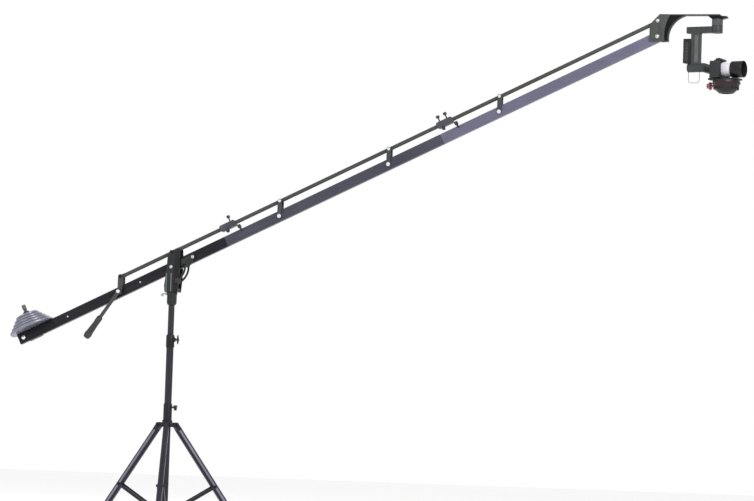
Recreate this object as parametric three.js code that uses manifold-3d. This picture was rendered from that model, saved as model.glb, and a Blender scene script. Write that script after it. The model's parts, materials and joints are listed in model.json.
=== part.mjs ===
// A camera crane: a sectional boom on a folding stand, with a parallelogram that keeps its head level.
// Millimetres, +Z up. The stand's axis is X = Y = 0 and the floor is Z = 0; the camera end points to +X.
import * as THREE from 'three';
import { mergeVertices } from 'three/addons/utils/BufferGeometryUtils.js';
import Module from 'manifold-3d';

const wasm = await Module();
wasm.setup();

// ---- Driving dimensions ----

// Fits
const GAP = 0.3;
const PIN_GAP = 0.3;

// Stand
const COLUMN_R = 17.5;
const COLUMN_WALL = 2.2;
const COLUMN_TOP = 850;
const RISER_WALL = 2.2;
const RISER_OVERLAP = 260;
const HUB_R = 34;
const HUB_FLOOR = 10;
const HUB_TOP = 50;
const HUB_PIN_R = 40;
const HUB_PIN_Z = 27;
const HUB_LUG_R = 9;
const LEG_COUNT = 3;
const LEG_FIRST_AZIMUTH = -76;
const LEG_SPREAD = 37;
const LEG_HINGE_R = 45;
const LEG_HINGE_Z = 448;
const LEG_DEPTH = 31;
const LEG_WIDTH = 26;
const LEG_WALL = 2.5;
const LEG_KNUCKLE = 24;
const LEG_PIN_R = 4;
const FOOT_LENGTH = 46;
const FOOT_LIP = 3;
const BRACE_PIN_DROP = 294;
const BRACE_THICKNESS = 3;
const BRACE_WIDTH = 15;
const BRACE_SPACER = 46;
const LEG_COLLAR_BELOW = 8;
const LEG_COLLAR_ABOVE = 102;
const LEG_COLLAR_WALL = 3.2;
const LEG_COLLAR_RING = 4;
const EAR_THICKNESS = 6;
const UPPER_COLLAR_WALL = 2.7;
const UPPER_COLLAR_HEIGHT = 62;
const UPPER_COLLAR_SKIRT = 26;
const LEG_KNOB_BELOW_TOP = 17;
const COLUMN_KNOB_ABOVE = 12;

// Pivot
const PIVOT_Z = 1215;
const REST_TILT = 25.5;
const SOCKET_R = 24;
const SOCKET_HEIGHT = 62;
const SPIGOT_R = 12;
const SPIGOT_LENGTH = 34;
const YOKE_BASE_DROP = 122;
const YOKE_BASE_THICKNESS = 18;
const YOKE_CLEARANCE = 1.5;
const YOKE_PLATE = 6;
const TILT_AXLE_R = 7;
const LINK_RISE = 74;
const ROD_PIN_R = 4;
const QUADRANT_CLEARANCE = 1.5;
const QUADRANT_THICKNESS = 5;
const QUADRANT_SLOT_R = 77;
const QUADRANT_HALF_WIDTH = 14;
const LOCK_STUD_R = 4;
const LOCK_ANGLE = -60;
const BOOM_UP = 18.5;
const BOOM_DOWN = 44.5;

// Boom and tie rods: places along them are distances from the pivot
const BOOM_HEIGHT = 50;
const BOOM_WIDTH = 30;
const BOOM_WALL = 2.5;
const BOOM_CORNER = 4;
const BOOM_REAR = -865;
const BOOM_FRONT = 2620;
const BOOM_END_PAST_PIN = 12;
const JOINTS = [300, 1480];
const SPIGOT_INTO_NEXT = 140;
const SPIGOT_ROOT = 30;
const JOINT_KNOB_AFTER = 95;
const JOINT_KNOB_LEAN = 40;
const JOINT_SCREW_SEAT = 14;
const ROD_R = 9.5;
const ROD_WALL = 2;
const ROD_TONGUE = 4;
const LINK_SPACING = 595;
const LINK_COUNT = 3;
const LINK_WIDTH = 20;
const LINK_THICKNESS = 4;
const LINK_CLEARANCE = 2;
const LINK_BOOM_PIN_R = 6;
const LINK_ROD_PIN_R = 4.5;
const QUADRANT_BOLT_AT = 118;
const CRANK_AT = -291;
const ROD_BLOCKS = [
  { at: 305, topScrews: [17], sideScrew: -4 },
  { at: 1489, topScrews: [-22, 16], sideScrew: -12 },
];
const SIDE_SCREW_TURN = 135;
const SCREW_SEAT = 11.5;
const TOP_SCREW_LENGTH = 36;
const SIDE_SCREW_LENGTH = 29;
const BLOCK_LENGTH = 84;
const BLOCK_HEIGHT = 32;
const BLOCK_WIDTH = 30;
const SCREW_R = 3.5;
const SCREW_HEAD_R = 9;
const SCREW_HEAD = 12;

// Counterweights
const POST_AT = -782;
const POST_R = 8.5;
const POST_TOP = 150;
const DISC_COUNT = 5;
const DISC_THICKNESS = 14.7;
const DISC_LARGEST_R = 113;
const DISC_STEP = 13.5;

// Handle
const HANDLE_LEAN = 35;
const HANDLE_CLEARANCE = 8;
const HANDLE_LENGTH = 280;
const HANDLE_R = 9;
const GRIP_LENGTH = 126;

// Head
const HEAD_CLEARANCE = 3;
const HEAD_PLATE = 5;
const HEAD_TOP = 100;
const HEAD_BOTTOM = -22;
// The curved edge of the head's plates, and the inner face of the band that stiffens it
const HEAD_EDGE = { x: 201, z: 10, r: 168.5 };
const HEAD_BAND = { x: 157, z: -5, r: 108.5 };
const STRAP_THICKNESS = 7;
const STRAP_END = 293;
const STRAP_CLEARANCE = 0.5;

// Gimbal and camera, from the head's lower bolt
const PAN_AXIS_X = 280;
const PAN_REST = -14;
const PAN_MOTOR_R = 26;
const PAN_MOTOR_TOP = 84;
const PAN_SPLIT = 51;
const PAN_ARM_TOP = 50;
const PAN_ARM_BOTTOM = 18;
const UPRIGHT_X = 175;
const UPRIGHT_WIDTH = 43;
const UPRIGHT_DEPTH = 30;
const ROLL_AXIS_Z = -143;
const ROLL_MOTOR_R = 21;
const ROLL_FACE_X = 203;
const TILT_AXIS_X = 300;
const TILT_MOTOR_R = 24;
const BODY_HALF_WIDTH = 60;
const BODY_BACK = 28;
const BODY_DEPTH = 40;
const BODY_BOTTOM = -197;
const LENS_R = 35;
const LENS_LENGTH = 49;
const HOOD_R = 39.5;
const HOOD_LENGTH = 60;

// ---- Sizes that follow from these ----

const riserR = COLUMN_R - COLUMN_WALL - GAP;
const legCollarR = COLUMN_R + GAP + LEG_COLLAR_WALL;
const upperCollarR = COLUMN_R + GAP + UPPER_COLLAR_WALL;

// Half widths, from the boom's middle plane outwards
const boomHalf = BOOM_HEIGHT / 2;
const boomSide = BOOM_WIDTH / 2;
const quadrantInner = boomSide + QUADRANT_CLEARANCE;
const yokeInner = quadrantInner + QUADRANT_THICKNESS + YOKE_CLEARANCE;
const yokeOuter = yokeInner + YOKE_PLATE;
const linkInner = boomSide + LINK_CLEARANCE;
const linkOuter = linkInner + LINK_THICKNESS;
const handleOffset = linkOuter + HANDLE_CLEARANCE + HANDLE_R;
const headInner = boomSide + HEAD_CLEARANCE;

// ---- Small geometry tools ----

const X_AXIS = new THREE.Vector3(1, 0, 0);
const Y_AXIS = new THREE.Vector3(0, 1, 0);
const Z_AXIS = new THREE.Vector3(0, 0, 1);

const rad = (degrees) => THREE.MathUtils.degToRad(degrees);
const polar = (radius, degrees) => [radius * Math.cos(rad(degrees)), radius * Math.sin(rad(degrees))];

// Turns geometry built along +Z so that it runs along another axis, then moves it.
function aim(geometry, axis, at = [0, 0, 0]) {
  const turn = new THREE.Quaternion().setFromUnitVectors(Z_AXIS, axis);
  return geometry.applyQuaternion(turn).translate(...at);
}

// A solid of revolution about +Z; outline points are [radius, height].
function revolve(outline, segments = 20) {
  const points = outline.map(([radius, height]) => new THREE.Vector2(radius, height));
  return new THREE.LatheGeometry(points, segments).rotateX(Math.PI / 2);
}

function rod(radius, from, to, segments = 12) {
  return revolve([[0, from], [radius, from], [radius, to], [0, to]], segments);
}

function pipe(outer, inner, from, to, segments = 24) {
  return revolve([[inner, from], [outer, from], [outer, to], [inner, to], [inner, from]], segments);
}

function box(x0, x1, y0, y1, z0, z1) {
  const block = new THREE.BoxGeometry(x1 - x0, y1 - y0, z1 - z0);
  return block.translate((x0 + x1) / 2, (y0 + y1) / 2, (z0 + z1) / 2);
}

// A plate whose outline lies in the XZ plane, from y0 to y1.
function plate(outline, y0, y1, curveSegments = 5) {
  const shape = outline instanceof THREE.Shape
    ? outline
    : new THREE.Shape(outline.map(([x, z]) => new THREE.Vector2(x, z)));
  const depth = y1 - y0;
  const slab = new THREE.ExtrudeGeometry(shape, { depth, bevelEnabled: false, curveSegments });
  return slab.rotateX(Math.PI / 2).translate(0, y1, 0);
}

// A flat bar in the XZ plane with round ends centred on (x0, z0) and (x1, z1).
function barShape(x0, z0, x1, z1, halfWidth) {
  const along = Math.atan2(z1 - z0, x1 - x0);
  const shape = new THREE.Shape();
  shape.absarc(x1, z1, halfWidth, along - Math.PI / 2, along + Math.PI / 2);
  shape.absarc(x0, z0, halfWidth, along + Math.PI / 2, along + 3 * Math.PI / 2);
  return shape;
}

// A rectangular tube along +X with rounded corners.
function boxTube(height, width, wall, corner, from, to) {
  const outline = (inset, path) => {
    const [w, h, r] = [width / 2 - inset, height / 2 - inset, Math.max(corner - inset, 0.5)];
    path.absarc(w - r, h - r, r, 0, Math.PI / 2);
    path.absarc(-w + r, h - r, r, Math.PI / 2, Math.PI);
    path.absarc(-w + r, -h + r, r, Math.PI, 3 * Math.PI / 2);
    path.absarc(w - r, -h + r, r, 3 * Math.PI / 2, 2 * Math.PI);
    return path;
  };
  const shape = outline(0, new THREE.Shape());
  shape.holes.push(outline(wall, new THREE.Path()));
  const tube = new THREE.ExtrudeGeometry(shape, { depth: to - from, bevelEnabled: false, curveSegments: 3 });
  return tube.rotateZ(Math.PI / 2).rotateY(Math.PI / 2).translate(from, 0, 0);
}

function toManifold(geometry) {
  const bare = geometry.clone();
  bare.deleteAttribute('normal');
  bare.deleteAttribute('uv');
  const merged = mergeVertices(bare, 1e-4);
  const corners = merged.index.array;
  const kept = [];
  for (let i = 0; i < corners.length; i += 3) {
    const [a, b, c] = [corners[i], corners[i + 1], corners[i + 2]];
    if (a !== b && b !== c && c !== a) kept.push(a, b, c);
  }
  return new wasm.Manifold(new wasm.Mesh({
    numProp: 3,
    vertProperties: new Float32Array(merged.attributes.position.array),
    triVerts: new Uint32Array(kept),
  }));
}

function fromManifold(solid) {
  const mesh = solid.getMesh();
  const geometry = new THREE.BufferGeometry();
  geometry.setAttribute('position', new THREE.BufferAttribute(mesh.vertProperties, 3));
  geometry.setIndex(new THREE.BufferAttribute(mesh.triVerts, 1));
  const flat = geometry.toNonIndexed();
  flat.computeVertexNormals();
  return flat;
}

function join(...pieces) {
  return fromManifold(pieces.map(toManifold).reduce((all, piece) => all.add(piece)));
}

function cut(blank, ...tools) {
  return fromManifold(tools.map(toManifold).reduce((left, tool) => left.subtract(tool), toManifold(blank)));
}

const across = (radius, half, x = 0, z = 0) => aim(rod(radius, -half, half), Y_AXIS, [x, 0, z]);

// ---- Materials ----

function paint(color, roughness, metalness) {
  return new THREE.MeshStandardMaterial({ color, roughness, metalness });
}

const standPaint = () => paint(0x34343f, 0.4, 0.5);
const castPaint = () => paint(0x3c4142, 0.55, 0.3);
const rearBoomPaint = () => paint(0x242428, 0.38, 0.4);
const frontBoomPaint = () => paint(0x58586a, 0.36, 0.5);
const rodPaint = () => paint(0x45484a, 0.5, 0.4);
const headPaint = () => paint(0x555a56, 0.6, 0.2);
const blackPaint = () => paint(0x0e0e10, 0.45, 0.2);
const steel = () => paint(0xb4b4c4, 0.32, 0.9);
const knobPlastic = () => paint(0x16161a, 0.5, 0);
const foam = () => paint(0x3e3f3a, 0.9, 0);
const rubber = () => paint(0x1b1b1c, 0.85, 0);
const gimbalPaint = () => paint(0x3a3e40, 0.5, 0.3);
const cameraPlastic = () => paint(0x1f2224, 0.6, 0);
const lensWhite = () => paint(0xd6d4d8, 0.35, 0);
const redAnodised = () => paint(0x8c2f3c, 0.4, 0.6);

// ---- Assembly frames ----

const crane = new THREE.Group();

function frameAt(parent, position, turnY = 0, turnZ = 0) {
  const frame = new THREE.Group();
  frame.position.set(...position);
  frame.rotation.set(0, rad(turnY), rad(turnZ));
  parent.add(frame);
  return frame;
}

function add(parent, name, geometry, material) {
  const mesh = new THREE.Mesh(geometry, material);
  mesh.name = name;
  parent.add(mesh);
  return mesh;
}

const yokeFrame = frameAt(crane, [0, 0, PIVOT_Z]);
const boomFrame = frameAt(crane, [0, 0, PIVOT_Z], -REST_TILT);
const rodFrame = frameAt(crane, [0, 0, PIVOT_Z + LINK_RISE], -REST_TILT);

// A frame that stays level, at a distance along the boom.
function levelFrame(along) {
  const [x, z] = polar(along, REST_TILT);
  return frameAt(crane, [x, 0, PIVOT_Z + z]);
}

// ---- Stand ----

const socketBottom = PIVOT_Z - YOKE_BASE_DROP - GAP - SOCKET_HEIGHT;
const riserTop = socketBottom + SOCKET_HEIGHT - SPIGOT_LENGTH - 12;
const legKnobZ = LEG_HINGE_Z + LEG_COLLAR_ABOVE - LEG_KNOB_BELOW_TOP;
const columnKnobZ = COLUMN_TOP + COLUMN_KNOB_ABOVE;
const legAzimuth = (index) => LEG_FIRST_AZIMUTH + index * 360 / LEG_COUNT;
const legRun = (drop) => LEG_HINGE_R + drop * Math.tan(rad(LEG_SPREAD));
const legReach = (drop) => drop / Math.cos(rad(LEG_SPREAD));

function baseColumn() {
  return pipe(COLUMN_R, COLUMN_R - COLUMN_WALL, HUB_FLOOR + GAP, COLUMN_TOP);
}

function baseHub() {
  const bossR = COLUMN_R + 7;
  const body = revolve([
    [0, 0], [HUB_R, 0], [HUB_R, 14], [bossR, 22], [bossR, HUB_TOP], [0, HUB_TOP],
  ]);
  const pieces = [body];
  for (let i = 0; i < LEG_COUNT; i++) {
    const outline = barShape(bossR - 8, HUB_PIN_Z, HUB_PIN_R, HUB_PIN_Z, HUB_LUG_R);
    const lug = plate(outline, -LEG_WIDTH / 2, LEG_WIDTH / 2);
    pieces.push(lug.rotateZ(rad(legAzimuth(i))));
  }
  const bores = [rod(COLUMN_R + GAP, HUB_FLOOR, HUB_TOP + 1, 28)];
  for (let i = 0; i < LEG_COUNT; i++) {
    bores.push(across(LEG_PIN_R + PIN_GAP, LEG_WIDTH, HUB_PIN_R, HUB_PIN_Z).rotateZ(rad(legAzimuth(i))));
  }
  return cut(join(...pieces), ...bores);
}

function legCollar() {
  const bottom = LEG_HINGE_Z - LEG_COLLAR_BELOW;
  const top = LEG_HINGE_Z + LEG_COLLAR_ABOVE;
  const inner = COLUMN_R + GAP;
  const ringR = legCollarR + LEG_COLLAR_RING;
  const pieces = [revolve([
    [inner, bottom], [ringR, bottom], [ringR, bottom + 28],
    [legCollarR, bottom + 34], [legCollarR, top], [inner, top], [inner, bottom],
  ])];
  const earInner = LEG_WIDTH / 2 + GAP * 2;
  const earOuter = earInner + EAR_THICKNESS;
  for (let i = 0; i < LEG_COUNT; i++) {
    const turn = rad(legAzimuth(i));
    for (const [y0, y1] of [[earInner, earOuter], [-earOuter, -earInner]]) {
      const ear = plate(barShape(legCollarR - 2, LEG_HINGE_Z, LEG_HINGE_R, LEG_HINGE_Z, 11), y0, y1);
      pieces.push(ear.rotateZ(turn));
    }
    pieces.push(across(LEG_PIN_R, earOuter + 3, LEG_HINGE_R, LEG_HINGE_Z).rotateZ(turn));
  }
  return cut(join(...pieces), rod(inner, bottom - 30, top + 1, 28));
}

// A leg in its own frame: the hinge at the origin and the leg hanging straight down.
function leg() {
  const end = -(legReach(LEG_HINGE_Z) - FOOT_LENGTH);
  const outline = new THREE.Shape();
  const corner = 6;
  const [w, d] = [LEG_WIDTH / 2, LEG_DEPTH / 2];
  outline.moveTo(d - corner, -w).lineTo(d, -w + corner).lineTo(d, w - corner).lineTo(d - corner, w);
  outline.lineTo(-d + corner, w).lineTo(-d, w - corner).lineTo(-d, -w + corner).lineTo(-d + corner, -w);
  const inside = new THREE.Path();
  const [iw, id] = [w - LEG_WALL, d - LEG_WALL];
  inside.moveTo(id - corner, -iw).lineTo(-id + corner, -iw).lineTo(-id, -iw + corner);
  inside.lineTo(-id, iw - corner).lineTo(-id + corner, iw).lineTo(id - corner, iw);
  inside.lineTo(id, iw - corner).lineTo(id, -iw + corner);
  outline.holes.push(inside);
  const length = -LEG_KNUCKLE - end;
  const settings = { depth: length, bevelEnabled: false };
  const tube = new THREE.ExtrudeGeometry(outline, settings).translate(0, 0, end);
  const knuckle = plate(barShape(0, -LEG_KNUCKLE - 8, 0, 0, d - 3), -w, w);
  return cut(join(tube, knuckle), across(LEG_PIN_R + PIN_GAP, LEG_WIDTH));
}

// A rubber foot in the stand's frame, at azimuth 0: a wedge that is flat on the floor, and no wider than
// the leg, so that it passes between the brace's bars as the stand folds.
function foot() {
  const down = rad(LEG_SPREAD);
  const half = LEG_DEPTH / 2 + FOOT_LIP;
  const topAt = legReach(LEG_HINGE_Z) - FOOT_LENGTH + GAP;
  const x = LEG_HINGE_R + topAt * Math.sin(down);
  const z = LEG_HINGE_Z - topAt * Math.cos(down);
  const [nx, nz] = [Math.cos(down) * half, Math.sin(down) * half];
  const ground = (px, pz) => [px + pz * Math.tan(down), 0];
  const outline = [[x - nx, z - nz], ground(x - nx, z - nz), ground(x + nx, z + nz), [x + nx, z + nz]];
  return plate(outline, -LEG_WIDTH / 2, LEG_WIDTH / 2);
}

// A brace in the stand's frame, at azimuth 0: a fork from the hub's pin out to the leg's sides.
function brace() {
  const outX = legRun(BRACE_PIN_DROP);
  const outZ = LEG_HINGE_Z - BRACE_PIN_DROP;
  const inner = LEG_WIDTH / 2 + GAP * 2;
  const outer = inner + BRACE_THICKNESS;
  const shape = barShape(HUB_PIN_R, HUB_PIN_Z, outX, outZ, BRACE_WIDTH / 2);
  const lean = Math.atan2(outZ - HUB_PIN_Z, outX - HUB_PIN_R);
  const spacerX = HUB_PIN_R + BRACE_SPACER * Math.cos(lean);
  const spacerZ = HUB_PIN_Z + BRACE_SPACER * Math.sin(lean);
  return join(
    plate(shape, inner, outer),
    plate(shape, -outer, -inner),
    across(LEG_PIN_R, outer + 2, HUB_PIN_R, HUB_PIN_Z),
    across(LEG_PIN_R, inner + 1, spacerX, spacerZ),
  );
}

// A clamp screw along +Z: a round shank from the origin and a moulded head whose outline is given.
function clampScrew(shankR, reach, headPieces) {
  return join(rod(shankR, 0, reach, 12), ...headPieces);
}

function lobedHead(radius, from, to, lobes) {
  const pieces = [rod(radius * 0.62, from, to)];
  for (let i = 0; i < lobes; i++) {
    const [x, y] = polar(radius * 0.62, i * 360 / lobes);
    pieces.push(rod(radius * 0.38, from, to, 12).translate(x, y, 0));
  }
  return pieces;
}

function wingHead(span, from, to) {
  const wing = (side) => aim(
    revolve([[0, 0], [6, 0], [3, span / 2], [0, span / 2]], 10), X_AXIS.clone().multiplyScalar(side),
    [0, 0, (from + to) / 2],
  );
  return [rod(7.5, from, to), wing(1), wing(-1)];
}

function upperCollar() {
  const bottom = COLUMN_TOP - UPPER_COLLAR_SKIRT;
  const top = bottom + UPPER_COLLAR_HEIGHT;
  const shoulder = COLUMN_TOP + GAP;
  const body = revolve([
    [COLUMN_R + GAP, bottom], [upperCollarR, bottom], [upperCollarR, top - 6], [upperCollarR - 3, top],
    [riserR + GAP, top], [riserR + GAP, shoulder], [COLUMN_R + GAP, shoulder], [COLUMN_R + GAP, bottom],
  ]);
  const boss = aim(rod(11, riserR + 3, upperCollarR + 5), X_AXIS, [0, 0, columnKnobZ]);
  const thread = aim(rod(4.3, riserR + 2, upperCollarR + 7), X_AXIS, [0, 0, columnKnobZ]);
  return cut(join(body, boss), thread);
}

function riserColumn() {
  return pipe(riserR, riserR - RISER_WALL, COLUMN_TOP - RISER_OVERLAP, riserTop);
}

function panSocket() {
  const top = socketBottom + SOCKET_HEIGHT;
  const body = revolve([
    [0, socketBottom], [SOCKET_R - 4, socketBottom], [SOCKET_R, socketBottom + 10], [SOCKET_R, top - 16],
    [SOCKET_R + 2, top - 10], [SOCKET_R + 2, top], [0, top],
  ]);
  const riserSeat = rod(riserR + GAP, socketBottom - 1, riserTop + GAP, 28);
  const spigotSeat = rod(SPIGOT_R + GAP, top - SPIGOT_LENGTH - GAP, top + 1, 28);
  return cut(body, riserSeat, spigotSeat);
}

function buildStand() {
  add(crane, 'base_column', baseColumn(), standPaint());
  add(crane, 'base_hub', baseHub(), castPaint());
  add(crane, 'leg_collar', legCollar(), castPaint());
  for (let i = 0; i < LEG_COUNT; i++) {
    const around = frameAt(crane, [0, 0, 0], 0, legAzimuth(i));
    const hinge = frameAt(around, [LEG_HINGE_R, 0, LEG_HINGE_Z], -LEG_SPREAD);
    add(hinge, `leg_${i + 1}`, leg(), standPaint());
    add(around, `foot_${i + 1}`, foot(), rubber());
    add(around, `brace_${i + 1}`, brace(), standPaint());
  }
  const legKnob = frameAt(crane, [legCollarR + GAP, 0, legKnobZ], 90);
  add(legKnob, 'leg_collar_knob', clampScrew(4, 12, lobedHead(15, 11, 24, 3)), knobPlastic());
  add(crane, 'upper_collar', upperCollar(), castPaint());
  const columnKnob = frameAt(crane, [riserR + 2 + GAP, 0, columnKnobZ], 90);
  add(columnKnob, 'upper_collar_knob', clampScrew(4, 18, wingHead(44, 16, 26)), knobPlastic());
  add(crane, 'riser_column', riserColumn(), standPaint());
  add(crane, 'pan_socket', panSocket(), castPaint());
}

// ---- Yoke, tilt axle and quadrant ----

const lockAt = polar(QUADRANT_SLOT_R, LOCK_ANGLE);

function yoke() {
  const floor = -YOKE_BASE_DROP;
  const baseTop = floor + YOKE_BASE_THICKNESS;
  const outline = [
    [-30, floor], [36, floor], [42, -60], [44, 30], [40, LINK_RISE + 14],
    [22, LINK_RISE + 13], [13, LINK_RISE - 4], [5, LINK_RISE + 8], [-7, LINK_RISE + 8],
    [-19, LINK_RISE - 14], [-24, -20], [-33, -90],
  ];
  const block = box(-30, 34, -yokeInner - 1, yokeInner + 1, floor, baseTop);
  const spigot = rod(SPIGOT_R, floor - SPIGOT_LENGTH, floor + 1, 28);
  const whole = join(
    plate(outline, yokeInner, yokeOuter),
    plate(outline, -yokeOuter, -yokeInner),
    block,
    spigot,
    across(ROD_PIN_R, yokeOuter + 3, 0, LINK_RISE),
  );
  const lockHole = aim(rod(LOCK_STUD_R + GAP, yokeInner - 1, yokeOuter + 1), Y_AXIS.clone().negate(),
    [lockAt[0], 0, lockAt[1]]);
  return cut(whole, across(TILT_AXLE_R + PIN_GAP, yokeOuter + 1), lockHole);
}

function tiltAxle() {
  const head = yokeOuter + GAP;
  return join(
    across(TILT_AXLE_R, head + 7),
    aim(rod(12, head, head + 6, 6), Y_AXIS),
    aim(rod(12, head, head + 6, 6), Y_AXIS.clone().negate()),
  );
}

// The quadrant in the boom's frame. Its slot is an arc about the tilt axis, a little longer than the travel.
function quadrantPlate() {
  const spare = 12;
  const slotFrom = LOCK_ANGLE - REST_TILT - BOOM_UP - spare;
  const slotTo = LOCK_ANGLE - REST_TILT + BOOM_DOWN + spare;
  const inner = QUADRANT_SLOT_R - QUADRANT_HALF_WIDTH;
  const outer = QUADRANT_SLOT_R + QUADRANT_HALF_WIDTH;
  const end = 7;
  const ring = new THREE.Shape();
  ring.absarc(0, 0, outer, rad(slotFrom - end), rad(slotTo + end), false);
  ring.absarc(0, 0, inner, rad(slotTo + end), rad(slotFrom - end), true);
  const slot = new THREE.Shape();
  const half = LOCK_STUD_R + 0.6;
  slot.absarc(0, 0, QUADRANT_SLOT_R + half, rad(slotFrom), rad(slotTo), false);
  slot.absarc(0, 0, QUADRANT_SLOT_R - half, rad(slotTo), rad(slotFrom), true);
  const y1 = -quadrantInner;
  const y0 = y1 - QUADRANT_THICKNESS;
  const tipX = polar(QUADRANT_SLOT_R, slotTo + end);
  const arm = barShape(tipX[0], tipX[1], QUADRANT_BOLT_AT, 0, QUADRANT_HALF_WIDTH - 2);
  const [stayX, stayZ] = polar(QUADRANT_SLOT_R, slotFrom - end / 2);
  const stay = barShape(0, 0, stayX, stayZ, QUADRANT_HALF_WIDTH - 3);
  const body = join(
    plate(ring, y0, y1, 12),
    plate(arm, y0, y1),
    plate(stay, y0, y1),
    plate(barShape(0, 0, QUADRANT_BOLT_AT, 0, QUADRANT_HALF_WIDTH), y0, y1),
    aim(rod(5, boomSide - 6, quadrantInner + QUADRANT_THICKNESS + 5), Y_AXIS.clone().negate(),
      [QUADRANT_BOLT_AT, 0, 0]),
  );
  const slotTool = plate(slot, y0 - 1, y1 + 1, 12);
  const slotEnds = [slotFrom, slotTo].map((angle) => {
    const [x, z] = polar(QUADRANT_SLOT_R, angle);
    return across(half, 60, x, z);
  });
  return cut(body, slotTool, ...slotEnds, across(TILT_AXLE_R + PIN_GAP, 60));
}

// The lock stud in the yoke's frame: its flange sits behind the quadrant and its knob in front of the yoke.
function tiltLockKnob() {
  const back = quadrantInner - GAP;
  const front = yokeOuter + GAP;
  const outward = Y_AXIS.clone().negate();
  const at = [lockAt[0], 0, lockAt[1]];
  const stud = aim(rod(LOCK_STUD_R, back - 4, front + 6), outward, at);
  const flange = aim(rod(8, back - 5, back), outward, at);
  const head = aim(join(...lobedHead(15, front, front + 14, 5)), outward, at);
  return join(stud, flange, head);
}

function buildPivot() {
  add(yokeFrame, 'yoke', yoke(), castPaint());
  add(yokeFrame, 'tilt_axle', tiltAxle(), steel());
  add(boomFrame, 'quadrant_plate', quadrantPlate(), castPaint());
  add(yokeFrame, 'tilt_lock_knob', tiltLockKnob(), knobPlastic());
}

// ---- Boom ----

const linkAt = (index) => (index + 1) * LINK_SPACING;
const linkPlaces = Array.from({ length: LINK_COUNT }, (_, index) => linkAt(index));

// One boom section, with a spigot that plugs into the next one.
function sectionTube(from, to, hasSpigot) {
  const tube = boxTube(BOOM_HEIGHT, BOOM_WIDTH, BOOM_WALL, BOOM_CORNER, from, to);
  if (!hasSpigot) return tube;
  const inset = 2 * (BOOM_WALL + GAP);
  const [h, w] = [BOOM_HEIGHT, BOOM_WIDTH];
  const rootFrom = to - SPIGOT_ROOT;
  const root = boxTube(h - BOOM_WALL, w - BOOM_WALL, 2 * BOOM_WALL, BOOM_CORNER, rootFrom, to - 1);
  const tip = to + SPIGOT_INTO_NEXT;
  const spigot = boxTube(h - inset, w - inset, BOOM_WALL, BOOM_CORNER - BOOM_WALL, rootFrom, tip);
  return join(tube, root, spigot);
}

// Cross bores for every pin that passes through the boom between two places along it.
function boomBores(from, to) {
  const bores = [];
  const bore = (at, radius) => {
    if (at > from && at < to) bores.push(across(radius, boomSide + 3, at));
  };
  bore(0, TILT_AXLE_R + PIN_GAP);
  bore(CRANK_AT, LINK_BOOM_PIN_R + PIN_GAP);
  for (const at of linkPlaces) bore(at, LINK_BOOM_PIN_R + PIN_GAP);
  if (QUADRANT_BOLT_AT > from && QUADRANT_BOLT_AT < to) {
    bores.push(aim(rod(5 + GAP, 5, boomSide + 3), Y_AXIS.clone().negate(), [QUADRANT_BOLT_AT, 0, 0]));
  }
  const pastCorner = Math.hypot(boomHalf, boomSide) + 3;
  for (const joint of JOINTS) {
    const at = joint + JOINT_KNOB_AFTER;
    const hole = rod(SCREW_R + GAP, 8, pastCorner).rotateX(rad(JOINT_KNOB_LEAN)).translate(at, 0, 0);
    if (at > from && at < to) bores.push(hole);
  }
  if (POST_AT > from && POST_AT < to) {
    bores.push(rod(POST_R + GAP, -boomHalf - 3, boomHalf + 3).translate(POST_AT, 0, 0));
  }
  return bores;
}

function boomSection(from, to, hasSpigot) {
  const reach = hasSpigot ? to + SPIGOT_INTO_NEXT : to;
  return cut(sectionTube(from, to, hasSpigot), ...boomBores(from, reach));
}

function frontSection() {
  const end = BOOM_FRONT + BOOM_END_PAST_PIN;
  return join(boomSection(JOINTS[1] + GAP, end, false), headBolt(LINK_BOOM_PIN_R, BOOM_FRONT));
}

// A cross bolt with hexagon heads outside the head's plates.
function headBolt(radius, at) {
  const face = headInner + HEAD_PLATE + GAP;
  const head = (side) => {
    const outward = Y_AXIS.clone().multiplyScalar(side);
    return aim(rod(radius + 4, face, face + 5, 6), outward, [at, 0, 0]);
  };
  return join(across(radius, face + 3, at), head(1), head(-1));
}

// The joint screws lean out to the near side, clear of the rod's clamp blocks.
function jointKnob() {
  return clampScrew(SCREW_R, 30, [rod(9.5, 27, 40), rod(6, 20, 28)]).translate(0, 0, JOINT_SCREW_SEAT);
}

function buildBoom() {
  add(boomFrame, 'boom_section_rear', boomSection(BOOM_REAR, JOINTS[0], true), rearBoomPaint());
  add(boomFrame, 'boom_section_middle', boomSection(JOINTS[0] + GAP, JOINTS[1], true), frontBoomPaint());
  add(boomFrame, 'boom_section_front', frontSection(), frontBoomPaint());
  JOINTS.forEach((joint, index) => {
    const seat = frameAt(boomFrame, [joint + JOINT_KNOB_AFTER, 0, 0]);
    add(seat, `boom_knob_${index + 1}`, jointKnob().rotateX(rad(JOINT_KNOB_LEAN)), knobPlastic());
  });
}

// ---- Tie rods, their clamp blocks and the links ----

// The rear rod, in the rods' frame, ends in a tongue at the yoke and an eye at the crank.
function rearTieRod() {
  const body = join(
    aim(rod(ROD_R, CRANK_AT, -14, 20), X_AXIS),
    box(CRANK_AT - ROD_R, CRANK_AT + 20, -8, 8, -ROD_R, ROD_R),
    box(-24, ROD_R, -ROD_TONGUE, ROD_TONGUE, -ROD_R + 1, ROD_R - 1),
  );
  const clear = [1, -1].map((side) => {
    const [near, far] = side > 0 ? [ROD_TONGUE, 20] : [-20, -ROD_TONGUE];
    return box(-20, 20, near, far, -20, 20);
  });
  const bores = [across(ROD_PIN_R + PIN_GAP, 20), across(LINK_ROD_PIN_R + PIN_GAP, 20, CRANK_AT)];
  return cut(body, ...clear, ...bores);
}

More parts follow.
